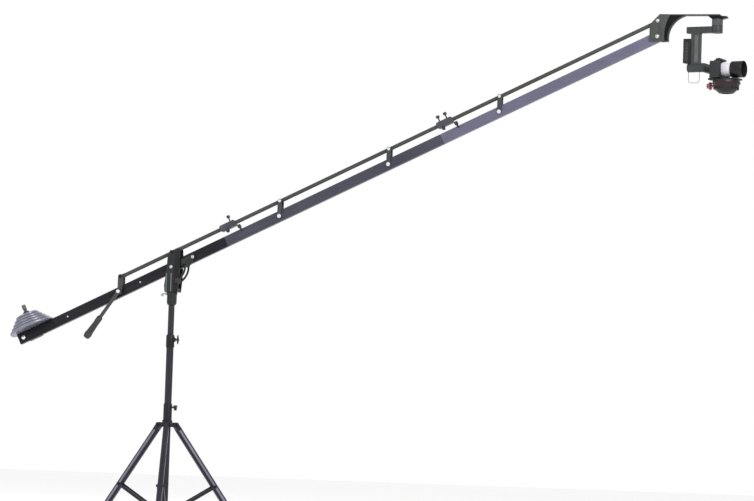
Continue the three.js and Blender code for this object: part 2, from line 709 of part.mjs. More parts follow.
// The front rod forks round the rear rod's tongue and carries the head's upper bolt.
function frontTieRod() {
  const fork = ROD_TONGUE + GAP * 2;
  const outer = fork + 5;
  const body = join(
    aim(pipe(ROD_R, ROD_R - ROD_WALL, 30, BOOM_FRONT - 20, 20), X_AXIS),
    box(-ROD_R, 36, -outer, outer, -ROD_R + 0.5, ROD_R - 0.5),
    box(BOOM_FRONT - 26, BOOM_FRONT + ROD_R, -8, 8, -ROD_R + 0.5, ROD_R - 0.5),
    headBolt(LINK_ROD_PIN_R, BOOM_FRONT),
  );
  const bores = linkPlaces.map((at) => across(LINK_ROD_PIN_R + PIN_GAP, 20, at));
  return cut(body, box(-20, 21 + GAP, -fork, fork, -20, 20), across(ROD_PIN_R + PIN_GAP, 20), ...bores);
}

function rodBlock(topScrews, sideScrew) {
  const [l, h, w] = [BLOCK_LENGTH / 2, BLOCK_HEIGHT / 2, BLOCK_WIDTH / 2];
  const chamfer = 6;
  const outline = [
    [-l, -h + chamfer], [-l + chamfer, -h], [l - chamfer, -h], [l, -h + chamfer],
    [l, h - chamfer], [l - chamfer, h], [-l + chamfer, h], [-l, h - chamfer],
  ];
  const bores = [aim(rod(ROD_R + GAP, -l - 1, l + 1, 20), X_AXIS)];
  for (const at of topScrews) bores.push(rod(SCREW_R + GAP, ROD_R + 1, h + 1, 12).translate(at, 0, 0));
  const sideBore = rod(SCREW_R + GAP, ROD_R + 1, h + 12, 12).rotateX(rad(SIDE_SCREW_TURN));
  bores.push(sideBore.translate(sideScrew, 0, 0));
  return cut(plate(outline, -w, w), ...bores);
}

// A clamp screw for the rods, seated just clear of the rod, with a plain round head.
function rodScrew(length) {
  const head = rod(SCREW_HEAD_R, length - SCREW_HEAD, length);
  return clampScrew(SCREW_R, length - SCREW_HEAD / 2, [head]).translate(0, 0, SCREW_SEAT);
}

function link() {
  const shape = () => barShape(0, 0, 0, LINK_RISE, LINK_WIDTH / 2);
  return join(
    plate(shape(), linkInner, linkOuter),
    plate(shape(), -linkOuter, -linkInner),
    across(LINK_BOOM_PIN_R, linkOuter + 4),
    across(LINK_ROD_PIN_R, linkOuter + 3, 0, LINK_RISE),
  );
}

function buildRods() {
  add(rodFrame, 'rear_tie_rod', rearTieRod(), rodPaint());
  add(rodFrame, 'front_tie_rod', frontTieRod(), rodPaint());
  ROD_BLOCKS.forEach(({ at, topScrews, sideScrew }, index) => {
    const name = (part) => `rod_${part.replace('#', index + 1)}`;
    const frame = frameAt(rodFrame, [at, 0, 0]);
    add(frame, name('block_#'), rodBlock(topScrews, sideScrew), frontBoomPaint());
    topScrews.forEach((place, number) => {
      const seat = frameAt(frame, [place, 0, 0]);
      add(seat, name(`screw_#_top_${number + 1}`), rodScrew(TOP_SCREW_LENGTH), knobPlastic());
    });
    // The side screw leans out and down to the near side, clear of the boom when it is raised.
    const side = rodScrew(SIDE_SCREW_LENGTH).rotateX(rad(SIDE_SCREW_TURN));
    add(frameAt(frame, [sideScrew, 0, 0]), name('screw_#_side'), side, knobPlastic());
  });
  linkPlaces.forEach((at, index) => {
    add(levelFrame(at), `link_${index + 1}`, link(), rodPaint());
  });
}

// ---- Handle ----

const handleDown = new THREE.Vector3(-Math.sin(rad(HANDLE_LEAN)), 0, -Math.cos(rad(HANDLE_LEAN)));
const gripFrom = HANDLE_LENGTH - GRIP_LENGTH;

// The crank in its level frame: two straps up to the rear rod, and a bar down to the grip on the near side.
function handleCrank() {
  const shape = () => barShape(0, 0, 0, LINK_RISE, LINK_WIDTH / 2 + 2);
  const bar = aim(rod(HANDLE_R, 0, HANDLE_LENGTH - 14), handleDown, [0, -handleOffset, 0]);
  const boss = aim(rod(14, linkOuter - 1, handleOffset + HANDLE_R), Y_AXIS.clone().negate());
  return join(
    plate(shape(), linkInner, linkOuter),
    plate(shape(), -linkOuter, -linkInner),
    across(LINK_BOOM_PIN_R, linkOuter + 4),
    across(LINK_ROD_PIN_R, linkOuter + 3, 0, LINK_RISE),
    boss,
    bar,
  );
}

function handleGrip() {
  const inner = HANDLE_R + GAP;
  const end = GRIP_LENGTH;
  const body = revolve([
    [0, 0], [13, 0], [15, 8], [14.5, 40], [16.5, 84], [19, 106], [16, end - 3], [11, end], [0, end],
  ]);
  const socket = rod(inner, -1, GRIP_LENGTH - 14 + GAP);
  return aim(cut(body, socket).translate(0, 0, gripFrom), handleDown, [0, -handleOffset, 0]);
}

function buildHandle() {
  const frame = levelFrame(CRANK_AT);
  add(frame, 'handle_crank', handleCrank(), rodPaint());
  add(frame, 'handle_grip', handleGrip(), foam());
}

// ---- Counterweights ----

function weightPost() {
  return join(
    rod(POST_R, -boomHalf - 2, POST_TOP),
    box(-34, 34, -13, 13, -boomHalf - 4, -boomHalf - GAP),
  );
}

function buildWeights() {
  const frame = frameAt(boomFrame, [POST_AT, 0, 0]);
  add(frame, 'weight_post', weightPost(), blackPaint());
  for (let i = 0; i < DISC_COUNT; i++) {
    const from = boomHalf + GAP + i * (DISC_THICKNESS + GAP);
    const radius = DISC_LARGEST_R - i * DISC_STEP;
    const disc = revolve([
      [POST_R + GAP, from], [radius - 2, from], [radius, from + 2], [radius, from + DISC_THICKNESS - 2],
      [radius - 2, from + DISC_THICKNESS], [POST_R + GAP, from + DISC_THICKNESS], [POST_R + GAP, from],
    ], 32);
    add(frame, `weight_disc_${i + 1}`, disc, steel());
  }
}

// ---- Head ----

// Points along an arc that is bulged to -X, between two heights.
function arcPoints(arc, fromZ, toZ, steps = 10) {
  const from = Math.asin((fromZ - arc.z) / arc.r);
  const to = Math.asin((toZ - arc.z) / arc.r);
  return Array.from({ length: steps + 1 }, (_, i) => {
    const angle = from + (to - from) * i / steps;
    return [arc.x - arc.r * Math.cos(angle), arc.z + arc.r * Math.sin(angle)];
  });
}

function headPlate(side) {
  const outline = [
    [-38, HEAD_BOTTOM], ...arcPoints(HEAD_EDGE, HEAD_BOTTOM, HEAD_TOP + 5), [9, HEAD_TOP + 6],
    [-38, LINK_RISE - 17],
  ];
  const slab = plate(outline, headInner, headInner + HEAD_PLATE);
  if (side < 0) slab.translate(0, -2 * headInner - HEAD_PLATE, 0);
  const upperBore = across(LINK_ROD_PIN_R + PIN_GAP, 60, 0, LINK_RISE);
  return cut(slab, across(LINK_BOOM_PIN_R + PIN_GAP, 60), upperBore);
}

function headArch() {
  const outside = arcPoints(HEAD_EDGE, HEAD_BOTTOM, HEAD_TOP - GAP).map(([x, z]) => [x + GAP, z]);
  const inside = arcPoints(HEAD_BAND, HEAD_BOTTOM, HEAD_TOP - GAP).reverse();
  const y = headInner + HEAD_PLATE;
  return plate([...outside, ...inside], -y, y);
}

function headStrap() {
  const half = headInner - STRAP_CLEARANCE;
  return box(48, STRAP_END, -half, half, HEAD_TOP, HEAD_TOP + STRAP_THICKNESS);
}

function gimbalMount() {
  const top = HEAD_TOP - GAP;
  const lip = PAN_MOTOR_TOP + 6;
  const outline = [
    [PAN_AXIS_X - 26, PAN_MOTOR_TOP + GAP], [PAN_AXIS_X + 26, PAN_MOTOR_TOP + GAP], [PAN_AXIS_X + 48, lip],
    [PAN_AXIS_X + 48, lip + 6], [PAN_AXIS_X + 22, lip + 7], [PAN_AXIS_X + 22, top], [PAN_AXIS_X - 46, top],
  ];
  return plate(outline, -24, 24);
}

function panMotor() {
  return rod(PAN_MOTOR_R, PAN_SPLIT + GAP, PAN_MOTOR_TOP, 28);
}

function buildHead() {
  const frame = levelFrame(BOOM_FRONT);
  add(frame, 'head_plate_near', headPlate(-1), headPaint());
  add(frame, 'head_plate_far', headPlate(1), headPaint());
  add(frame, 'head_arch', headArch(), blackPaint());
  add(frame, 'head_strap', headStrap(), headPaint());
  add(frame, 'gimbal_mount', gimbalMount(), blackPaint());
  add(frameAt(frame, [PAN_AXIS_X, 0, 0]), 'pan_motor', panMotor(), gimbalPaint());
  return frame;
}

// ---- Gimbal and camera, in a frame that turns about the pan axis ----

const toPan = (x) => x - PAN_AXIS_X;
const motorInner = BODY_HALF_WIDTH + 12;
const motorOuter = motorInner + 22;

function panArm() {
  const left = toPan(UPRIGHT_X - UPRIGHT_WIDTH / 2);
  const right = toPan(UPRIGHT_X + UPRIGHT_WIDTH / 2);
  const half = UPRIGHT_DEPTH / 2;
  return join(
    rod(PAN_MOTOR_R, PAN_ARM_BOTTOM, PAN_SPLIT, 28),
    box(left - 24, -10, -half, half, PAN_ARM_BOTTOM + 2, PAN_ARM_TOP),
    box(left, right, -half, half, ROLL_AXIS_Z, PAN_ARM_TOP - 5),
    aim(rod(ROLL_MOTOR_R, left - 16, toPan(ROLL_FACE_X), 28), X_AXIS, [0, 0, ROLL_AXIS_Z]),
  );
}

function batteryBox() {
  const right = toPan(UPRIGHT_X - UPRIGHT_WIDTH / 2) - GAP;
  return box(right - 36, right, -22, 22, ROLL_AXIS_Z + ROLL_MOTOR_R + GAP, PAN_ARM_BOTTOM - 24);
}

function rollArm() {
  const face = toPan(ROLL_FACE_X) + GAP;
  const tilt = toPan(TILT_AXIS_X);
  const [low, high] = [ROLL_AXIS_Z - 20, ROLL_AXIS_Z + 20];
  return join(
    aim(rod(ROLL_MOTOR_R, face, face + 16, 28), X_AXIS, [0, 0, ROLL_AXIS_Z]),
    box(face + 4, face + 22, -16, motorOuter + 14, low, high),
    box(face + 4, tilt + TILT_MOTOR_R, motorOuter, motorOuter + 14, low, high),
    aim(rod(TILT_MOTOR_R, motorInner, motorOuter + 1, 28), Y_AXIS, [tilt, 0, ROLL_AXIS_Z]),
  );
}

// The cradle hangs from the tilt motor: a side plate, a base under the camera, a rear post and a dish.
function tiltCradle() {
  const tilt = toPan(TILT_AXIS_X);
  const side = motorInner - GAP;
  const inner = BODY_HALF_WIDTH + GAP * 2;
  const top = BODY_BOTTOM - GAP;
  const base = top - 8;
  const dishX = tilt + 34;
  const pocket = revolve([
    [0, base - 63], [24, base - 63], [50, base - 14], [50, base - 8], [0, base - 8],
  ], 24);
  const whole = join(
    aim(rod(TILT_MOTOR_R, inner, side, 28), Y_AXIS, [tilt, 0, ROLL_AXIS_Z]),
    box(tilt - 20, tilt + 20, inner, side, base, ROLL_AXIS_Z),
    box(tilt - BODY_BACK - 18, tilt + 100, -34, 34, base, top),
    box(tilt - 20, tilt + 20, 20, side, base, top),
    box(tilt - BODY_BACK - 18, tilt - BODY_BACK - 2, -18, 18, base, ROLL_AXIS_Z - 26),
    revolve([
      [0, base - 62], [34, base - 62], [54, base - 44], [66, base - 12], [62, base + 1], [0, base + 1],
    ], 32).translate(dishX, 0, 0),
  );
  return cut(whole, pocket.translate(dishX, 0, 0));
}

function cameraBody() {
  const back = toPan(TILT_AXIS_X) - BODY_BACK;
  const front = back + BODY_DEPTH;
  const height = 78;
  const top = BODY_BOTTOM + height;
  const grip = box(front - 12, front + 9, -BODY_HALF_WIDTH, -LENS_R - 3, BODY_BOTTOM, top - 12);
  const hump = plate([[back + 6, top - 1], [front - 2, top - 1], [front - 2, top + 2], [front + 13, top + 4],
    [front + 9, top + 12], [front - 8, top + 18], [back + 14, top + 16]], -21, 21);
  return join(
    box(back, front, -BODY_HALF_WIDTH, BODY_HALF_WIDTH, BODY_BOTTOM, top),
    grip,
    hump,
  );
}

const lensFrom = () => toPan(TILT_AXIS_X) - BODY_BACK + BODY_DEPTH + GAP;
const lensAxisZ = BODY_BOTTOM + 42;

function lensBarrel() {
  const from = lensFrom();
  const profile = revolve([
    [0, from], [LENS_R - 2, from], [LENS_R, from + 5], [LENS_R, from + LENS_LENGTH], [0, from + LENS_LENGTH],
  ], 32);
  return aim(profile, X_AXIS, [0, 0, lensAxisZ]);
}

function lensHood() {
  const from = lensFrom() + LENS_LENGTH + GAP;
  const to = from + HOOD_LENGTH;
  const profile = revolve([
    [0, from], [HOOD_R - 3, from], [HOOD_R, from + 4], [HOOD_R, to], [HOOD_R - 3, to],
    [HOOD_R - 5, to - 26], [0, to - 28],
  ], 32);
  return aim(profile, X_AXIS, [0, 0, lensAxisZ]);
}

// The red thumb knob along +X, behind the cradle's base.
function cradleKnob() {
  return join(rod(5, 0, 12, 12), rod(19, 11, 19), rod(12, 18, 30, 12));
}

function buildGimbal(headFrame) {
  const pan = frameAt(headFrame, [PAN_AXIS_X, 0, 0], 0, PAN_REST);
  add(pan, 'pan_arm', panArm(), gimbalPaint());
  add(pan, 'battery_box', batteryBox(), cameraPlastic());
  add(pan, 'roll_arm', rollArm(), gimbalPaint());
  add(pan, 'tilt_cradle', tiltCradle(), blackPaint());
  add(pan, 'camera_body', cameraBody(), cameraPlastic());
  add(pan, 'lens_barrel', lensBarrel(), lensWhite());
  add(pan, 'lens_hood', lensHood(), blackPaint());
  const knob = frameAt(pan, [toPan(TILT_AXIS_X) - 32 - GAP, 0, BODY_BOTTOM - 34], -90);
  add(knob, 'cradle_knob', cradleKnob(), redAnodised());
}

// ---- Build ----

buildStand();
buildPivot();
buildBoom();
buildRods();
buildHandle();
buildWeights();
buildGimbal(buildHead());

export default crane;
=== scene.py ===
import json
import math

import bmesh
import bpy
from mathutils import Matrix, Vector


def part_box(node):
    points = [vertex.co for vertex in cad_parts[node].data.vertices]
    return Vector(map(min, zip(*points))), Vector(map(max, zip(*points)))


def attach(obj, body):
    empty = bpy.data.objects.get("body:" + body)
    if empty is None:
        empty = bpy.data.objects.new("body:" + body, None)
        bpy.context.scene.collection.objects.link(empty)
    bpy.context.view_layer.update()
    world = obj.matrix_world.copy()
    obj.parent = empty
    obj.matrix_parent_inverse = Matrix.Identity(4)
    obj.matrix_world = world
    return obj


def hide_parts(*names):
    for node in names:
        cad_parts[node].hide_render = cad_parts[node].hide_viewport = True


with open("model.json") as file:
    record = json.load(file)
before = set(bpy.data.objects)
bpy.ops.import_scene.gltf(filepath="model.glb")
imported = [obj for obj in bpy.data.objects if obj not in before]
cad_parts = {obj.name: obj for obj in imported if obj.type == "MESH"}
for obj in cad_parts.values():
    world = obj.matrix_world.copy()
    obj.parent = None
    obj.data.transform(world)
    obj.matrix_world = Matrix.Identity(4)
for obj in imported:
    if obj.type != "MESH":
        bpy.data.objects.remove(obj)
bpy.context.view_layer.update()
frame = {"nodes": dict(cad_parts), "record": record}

# ---- Base column and riser ----
# Two drawn steel tubes, one sliding in the other, with a dark blue-grey satin powder coat. Their ends
# are turned square and their edges broken.


class Socket:
    """A node's output, with arithmetic, in the tree that is being built."""
    tree = None

    def __init__(self, output):
        self.output = output

    def maths(self, operation, first, second):
        return make_node("ShaderNodeMath", {"operation": operation}, {0: first, 1: second})

    def __add__(self, other):
        return self.maths("ADD", self, other)

    def __radd__(self, other):
        return self.maths("ADD", other, self)

    def __sub__(self, other):
        return self.maths("SUBTRACT", self, other)

    def __rsub__(self, other):
        return self.maths("SUBTRACT", other, self)

    def __mul__(self, other):
        return self.maths("MULTIPLY", self, other)

    def __rmul__(self, other):
        return self.maths("MULTIPLY", other, self)

    def __truediv__(self, other):
        return self.maths("DIVIDE", self, other)

    def __gt__(self, other):
        return self.maths("GREATER_THAN", self, other)


def make_node(kind, settings=None, inputs=None, output=0):
    """Adds a node: its settings first, then its inputs, by name or place, as values or links."""
    made = Socket.tree.nodes.new(kind)
    for key, value in (settings or {}).items():
        setattr(made, key, value)
    for key, value in (inputs or {}).items():
        if isinstance(value, Socket):
            Socket.tree.links.new(value.output, made.inputs[key])
        else:
            made.inputs[key].default_value = value
    return Socket(made.outputs[output])


def mixed(factor, first, second):
    colour = lambda value: value if isinstance(value, Socket) else (*value, 1)
    inputs = {0: factor, 6: colour(first), 7: colour(second)}
    return make_node("ShaderNodeMix", {"data_type": "RGBA"}, inputs, 2)


def grain(scale, detail=3.0, stretch=(1, 1, 1), turn=(0, 0, 0)):
    """Noise on Object coordinates, stretched where a finish has a direction."""
    place = make_node("ShaderNodeTexCoord", output=3)
    place = make_node("ShaderNodeMapping", {}, {"Vector": place, "Scale": stretch, "Rotation": turn})
    return make_node("ShaderNodeTexNoise", {}, {"Vector": place, "Scale": scale, "Detail": detail})


def spread(value, low, high, to_low, to_high):
    return make_node("ShaderNodeMapRange", {}, {0: value, 1: low, 2: high, 3: to_low, 4: to_high})


def finish(name, colour, roughness, metallic=0.0, bump=None, depth=0.0003, **fixed):
    """A Principled material. colour, roughness and bump may be functions that add nodes to its tree."""
    made = bpy.data.materials.new(name)
    made.use_nodes = True
    Socket.tree = made.node_tree
    shader = made.node_tree.nodes["Principled BSDF"]
    for key, value in (("Base Color", colour), ("Roughness", roughness)):
        value = value() if callable(value) else value
        if isinstance(value, Socket):
            made.node_tree.links.new(value.output, shader.inputs[key])
        else:
            shader.inputs[key].default_value = (*value, 1) if key == "Base Color" else value
    shader.inputs["Metallic"].default_value = metallic
    for key, value in {"Specular_IOR_Level": 0.25, **fixed}.items():
        shader.inputs[key.replace("_", " ")].default_value = value
    if bump:
        raised = make_node("ShaderNodeBump", {}, {"Height": bump(), "Strength": 0.5, "Distance": depth})
        made.node_tree.links.new(raised.output, shader.inputs["Normal"])
    return made


def coated(name, colour, roughness, metallic=0.0, wear=0.12, **fixed):
    """Powder coat: an even colour with faint mottling, fine orange peel and a few rubbed patches."""
    rubbed = [min(1, c * 1.5 + 0.01) for c in colour]
    dull = [c * 0.8 for c in colour]
    return finish(
        name,
        lambda: mixed(spread(grain(9, 5), 0.35, 0.75, 0, 1) * wear * 3,
                      mixed(grain(60), dull, colour), rubbed),
        lambda: spread(grain(35, 4), 0.3, 0.7, roughness - 0.07, roughness + 0.09),
        metallic, lambda: grain(900, 2), 0.0001, **fixed,
    )


body_of = {node: body for body, inside in frame["record"]["behaviour"]["bodies"].items() for node in inside}


def placed(name, mesh, body, material, stands_for=(), smooth=32):
    """Puts a mesh in the scene as a piece that rides a body and stands for CAD nodes."""
    if material:
        mesh.materials.clear()
        mesh.materials.append(material)
    mesh.shade_smooth()
    mesh.set_sharp_from_angle(angle=math.radians(smooth))
    piece = bpy.data.objects.new(name, mesh)
    bpy.context.scene.collection.objects.link(piece)
    if stands_for:
        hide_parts(*stands_for)
    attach(piece, body)
    return piece


def lathe(shape, outline, at, axis, steps=48):
    """Adds a solid of revolution. The outline holds (radius, distance along the axis)."""
    place = Matrix.Translation(at) @ Vector(axis).to_track_quat("Z", "Y").to_matrix().to_4x4()
    rings = []
    for radius, along in outline:
        turns = [2 * math.pi * i / steps for i in range(steps)] if radius else [0]
        corners = [(radius * math.cos(turn), radius * math.sin(turn), along) for turn in turns]
        rings.append([shape.verts.new(place @ Vector(corner)) for corner in corners])
    for ring, following in zip(rings, rings[1:]):
        for i in range(steps):
            corners = [ring[i % len(ring)], ring[(i + 1) % steps % len(ring)],
                       following[(i + 1) % steps % len(following)], following[i % len(following)]]
            corners = list(dict.fromkeys(corners))
            if len(corners) > 2:
                shape.faces.new(corners)


def turned(name, outline, at, axis, body, material, stands_for=(), steps=48):
    """One turned piece as its own object."""
    shape = bmesh.new()
    lathe(shape, outline, at, axis, steps)
    return poured(name, shape, body, material, stands_for)


def poured(name, shape, body, material, stands_for=()):
    """Turns a bmesh into a piece, with its doubles merged and its faces outwards."""
    bmesh.ops.remove_doubles(shape, verts=shape.verts, dist=1e-6)
    bmesh.ops.recalc_face_normals(shape, faces=shape.faces)
    mesh = bpy.data.meshes.new(name)
    shape.to_mesh(mesh)
    shape.free()
    return placed(name, mesh, body, material, stands_for)


def rounded(outline, radius, steps=3):
    """The outline with its corners rounded, but not its first and last points."""
    points = [Vector(point) for point in outline]
    result = [points[0]]
    for before, corner, after in zip(points, points[1:], points[2:]):
        to_before, to_after = before - corner, after - corner
        r = min(radius, to_before.length * 0.45, to_after.length * 0.45)
        start, end = corner + to_before.normalized() * r, corner + to_after.normalized() * r
        for i in range(steps + 1):
            t = i / steps
            result.append(start * (1 - t) ** 2 + corner * 2 * t * (1 - t) + end * t ** 2)
    return [tuple(point) for point in result + [points[-1]]]


def broken_edges(node, material, edge=0.0008, sharp=32, name=None):
    """A copy of a CAD node with its sharp edges rounded off, in place of the node."""
    shape = bmesh.new()
    shape.from_mesh(frame["nodes"][node].data)
    bmesh.ops.remove_doubles(shape, verts=shape.verts, dist=2e-5)
    bmesh.ops.dissolve_limit(shape, angle_limit=math.radians(0.5), verts=shape.verts, edges=shape.edges)
    corners = [edge for edge in shape.edges
               if len(edge.link_faces) == 2 and edge.calc_face_angle(0) > math.radians(sharp)]
    bmesh.ops.bevel(shape, geom=corners, offset=edge, segments=2, profile=0.6, affect="EDGES",
                    clamp_overlap=True)
    mesh = bpy.data.meshes.new(name or node + "_fine")
    shape.to_mesh(mesh)
    shape.free()
    return placed(mesh.name, mesh, body_of[node], material, (node,))


def span(node, axis=2):
    """Where a CAD node starts and ends along an axis."""
    low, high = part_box(node)
    return low[axis], high[axis]


FLOOR_UP = (0, 0, 1)
COLUMN_RADIUS = span("base_column", 0)[1]
RISER_RADIUS = span("riser_column", 0)[1]
stand_paint = coated("stand_paint", (0.017, 0.016, 0.023), 0.32, 0.25)
for node, radius in (("base_column", COLUMN_RADIUS), ("riser_column", RISER_RADIUS)):
    low, high = span(node)
    bore = radius - 0.0022
    outline = [(bore, low), *rounded([(radius, low), (radius, high), (bore, high)], 0.0008), (bore, low)]
    turned(node + "_tube", outline, (0, 0, 0), FLOOR_UP, body_of[node], stand_paint, (node,))

# ---- Column hub, leg collar, upper collar and pan socket ----
# Castings and turned aluminium in a matt grey-green coat: the hub closes the column's foot and carries
# the braces, the collar that slides on the column carries the legs, and the socket takes the yoke's
# spigot.

cast_paint = coated("cast_paint", (0.013, 0.015, 0.016), 0.45, 0.1)
# A dark coat for the hub and collars, also used as painted shade on the yoke's front part.
dark_paint_and_yoke_shade = coated("dark_paint_and_yoke_shade", (0.006, 0.006, 0.009), 0.4, 0.15)
broken_edges("base_hub", dark_paint_and_yoke_shade, 0.0012)
broken_edges("leg_collar", dark_paint_and_yoke_shade, 0.0008)
broken_edges("upper_collar", dark_paint_and_yoke_shade, 0.0008)
socket_low, socket_high = span("pan_socket")
broken_edges("pan_socket", cast_paint, 0.0008)


def blocks(shape, low, high, place=Matrix(), edge=0.0, steps=2):
    """Adds a box between two corners, with its edges rounded, then moves it to its place."""
    added = bmesh.new()
    size = [b - a for a, b in zip(low, high)]
    middle = Matrix.Translation([(a + b) / 2 for a, b in zip(low, high)])
    bmesh.ops.create_cube(added, size=1, matrix=middle @ Matrix.Diagonal((*size, 1)))
    if edge:
        bmesh.ops.bevel(added, geom=added.edges[:], offset=edge, segments=steps, profile=0.5, affect="EDGES")
    bmesh.ops.transform(added, verts=added.verts, matrix=place)
    carry = bpy.data.meshes.new("carry")
    added.to_mesh(carry)
    added.free()
    shape.from_mesh(carry)
    bpy.data.meshes.remove(carry)


lever_grey = coated("lever_grey", (0.42, 0.44, 0.46), 0.4, 0.2)
LEVER_Z = socket_high - 0.008
shape = bmesh.new()
lathe(shape, [(0, 0), (0.0065, 0), (0.0065, 0.011), (0, 0.011)], (-0.0245, 0, LEVER_Z), (-1, 0, 0), 24)
blocks(shape, (-0.048, -0.0035, LEVER_Z - 0.003), (-0.032, 0.0035, LEVER_Z + 0.003), edge=0.0012)
lever_tip = rounded([(0, 0), (0.006, 0), (0.0075, 0.012), (0, 0.016)], 0.003)
lathe(shape, lever_tip, (-0.046, 0, LEVER_Z), (-0.6, 0, -0.8), 24)
poured("socket_lever", shape, "riser", lever_grey)

# ---- Legs, feet and braces ----
# Three rectangular steel tubes with a lighter strip down each side as a painted highlight, rubber wedge feet,
# and twin flat braces riveted across. The pins have domed heads in black zinc.

bright_steel = finish("bright_steel", (0.78, 0.78, 0.80),
                      lambda: spread(grain(300, 2), 0.3, 0.7, 0.16, 0.32), 1.0)
# A lighter coat for the strips down the legs: a painted highlight.
highlight_strip_paint = coated("highlight_strip_paint", (0.150, 0.150, 0.195), 0.3, 0.4, 0.25)
foot_rubber = finish("foot_rubber", lambda: mixed(grain(80), (0.009, 0.009, 0.010), (0.018, 0.018, 0.019)),
                     0.8, 0, lambda: grain(500, 4), 0.0004)
black_zinc = finish("black_zinc", (0.012, 0.012, 0.016),
                    lambda: spread(grain(300, 2), 0.3, 0.7, 0.28, 0.42), 0.6)
LEG_COUNT = 3
FIRST_LEG = -76
LEG_SPREAD = math.radians(37)
HINGE_RADIUS, HINGE_Z = 0.045, 0.448
HUB_PIN_RADIUS, HUB_PIN_Z = 0.040, 0.027
BRACE_DROP = 0.294
BRACE_END = HINGE_RADIUS + BRACE_DROP * math.tan(LEG_SPREAD)


def dome(shape, at, axis, radius, height):
    """Adds a domed rivet or nut head."""
    arc = [(radius * math.cos(t), height * 0.25 + height * 0.75 * math.sin(t))
           for t in [math.pi / 2 * i / 6 for i in range(6)]]
    flange = radius * 1.08
    lathe(shape, [(0, 0), (flange, 0), (flange, height * 0.25), *arc, (0, height)], at, axis, 28)


for i in range(LEG_COUNT):
    number = i + 1
    azimuth = math.radians(FIRST_LEG + 360 / LEG_COUNT * i)
    around = Matrix.Rotation(azimuth, 4, "Z")
    sideways = around.to_3x3() @ Vector((0, 1, 0))
    leg_place = around @ Matrix.Translation((HINGE_RADIUS, 0, HINGE_Z)) @ Matrix.Rotation(-LEG_SPREAD, 4, "Y")
    broken_edges(f"leg_{number}", stand_paint, 0.001)
    broken_edges(f"foot_{number}", foot_rubber, 0.002)
    broken_edges(f"brace_{number}", stand_paint, 0.0006)
    # Thin strips in the lighter coat on both sides of the leg: a painted highlight.
    shape = bmesh.new()
    for face in (-1, 1):
        y = face * 0.013
        blocks(shape, (-0.0050, y - 0.0004, -0.500), (0.0056, y + 0.0004, -0.032), leg_place, 0.0003, 1)
    poured(f"leg_highlight_strip_{number}", shape, f"leg_{number}_body", highlight_strip_paint)
    pins = bmesh.new()
    hinges = bmesh.new()
    for side in (-1, 1):
        axis = side * sideways
        end = around @ Vector((BRACE_END, side * 0.0166, HINGE_Z - BRACE_DROP))
        dome(pins, end, axis, 0.0062, 0.005)
        dome(pins, around @ Vector((HUB_PIN_RADIUS, side * 0.0186, HUB_PIN_Z)), axis, 0.0058, 0.004)
        dome(hinges, around @ Vector((HINGE_RADIUS, side * 0.0196, HINGE_Z)), axis, 0.0072, 0.005)
    poured(f"brace_pins_{number}", pins, f"brace_{number}_body", black_zinc)
    poured(f"hinge_pins_{number}", hinges, "leg_slider", black_zinc)

# ---- Stand knobs ----
# Moulded thermoplastic on steel studs: a three-lobed knob locks the leg collar and a winged one locks
# the riser.

knob_plastic = finish("knob_plastic", lambda: mixed(grain(120), (0.012, 0.012, 0.015), (0.030, 0.030, 0.036)),
                      lambda: spread(grain(200), 0.3, 0.7, 0.3, 0.45), 0, lambda: grain(700, 2), 0.0002)
for node, edge in (("leg_collar_knob", 0.0015), ("upper_collar_knob", 0.0012), ("tilt_lock_knob", 0.0015)):
    broken_edges(node, knob_plastic, edge)

# ---- Yoke and tilt axle ----
# Two cast side plates on one base, each with a horn for the tie rods, in a matt grey-green coat. Ribs
# stiffen the foot of the plates, and the front part of the plates is painted darker as painted shade. The
# axle is a plated bolt with a washer under each domed head.

yoke = broken_edges("yoke", cast_paint, 0.001)
# Faces ahead of SHADE_FROM, the yoke's front part, take the dark coat as painted shade.
yoke.data.materials.append(dark_paint_and_yoke_shade)
SHADE_FROM = 0.014
shape = bmesh.new()
shape.from_mesh(yoke.data)
bmesh.ops.bisect_plane(shape, geom=shape.verts[:] + shape.edges[:] + shape.faces[:], dist=1e-6,
                       plane_co=(SHADE_FROM, 0, 0), plane_no=(1, 0, 0))
shape.to_mesh(yoke.data)
shape.free()
for face in yoke.data.polygons:
    if face.center.x > SHADE_FROM:
        face.material_index = 1
axle_low, axle_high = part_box("tilt_axle")
TILT_AXIS = Vector((0, 0, (axle_low[2] + axle_high[2]) / 2))
axle_end = axle_high[1]
axle_steel = finish("axle_steel", (0.42, 0.43, 0.45),
                    lambda: spread(grain(300, 2), 0.3, 0.7, 0.30, 0.42), 0.9)
turned("tilt_axle_bolt", rounded([
    (0, -axle_end), (0.005, -axle_end), (0.0085, -axle_end + 0.003), (0.009, -axle_end + 0.0060),
    (0.007, -axle_end + 0.0065), (0.007, axle_end - 0.0065), (0.009, axle_end - 0.0060),
    (0.0085, axle_end - 0.003), (0.005, axle_end), (0, axle_end),
], 0.001), TILT_AXIS, (0, 1, 0), body_of["tilt_axle"], axle_steel, ("tilt_axle",))

recipes = {}


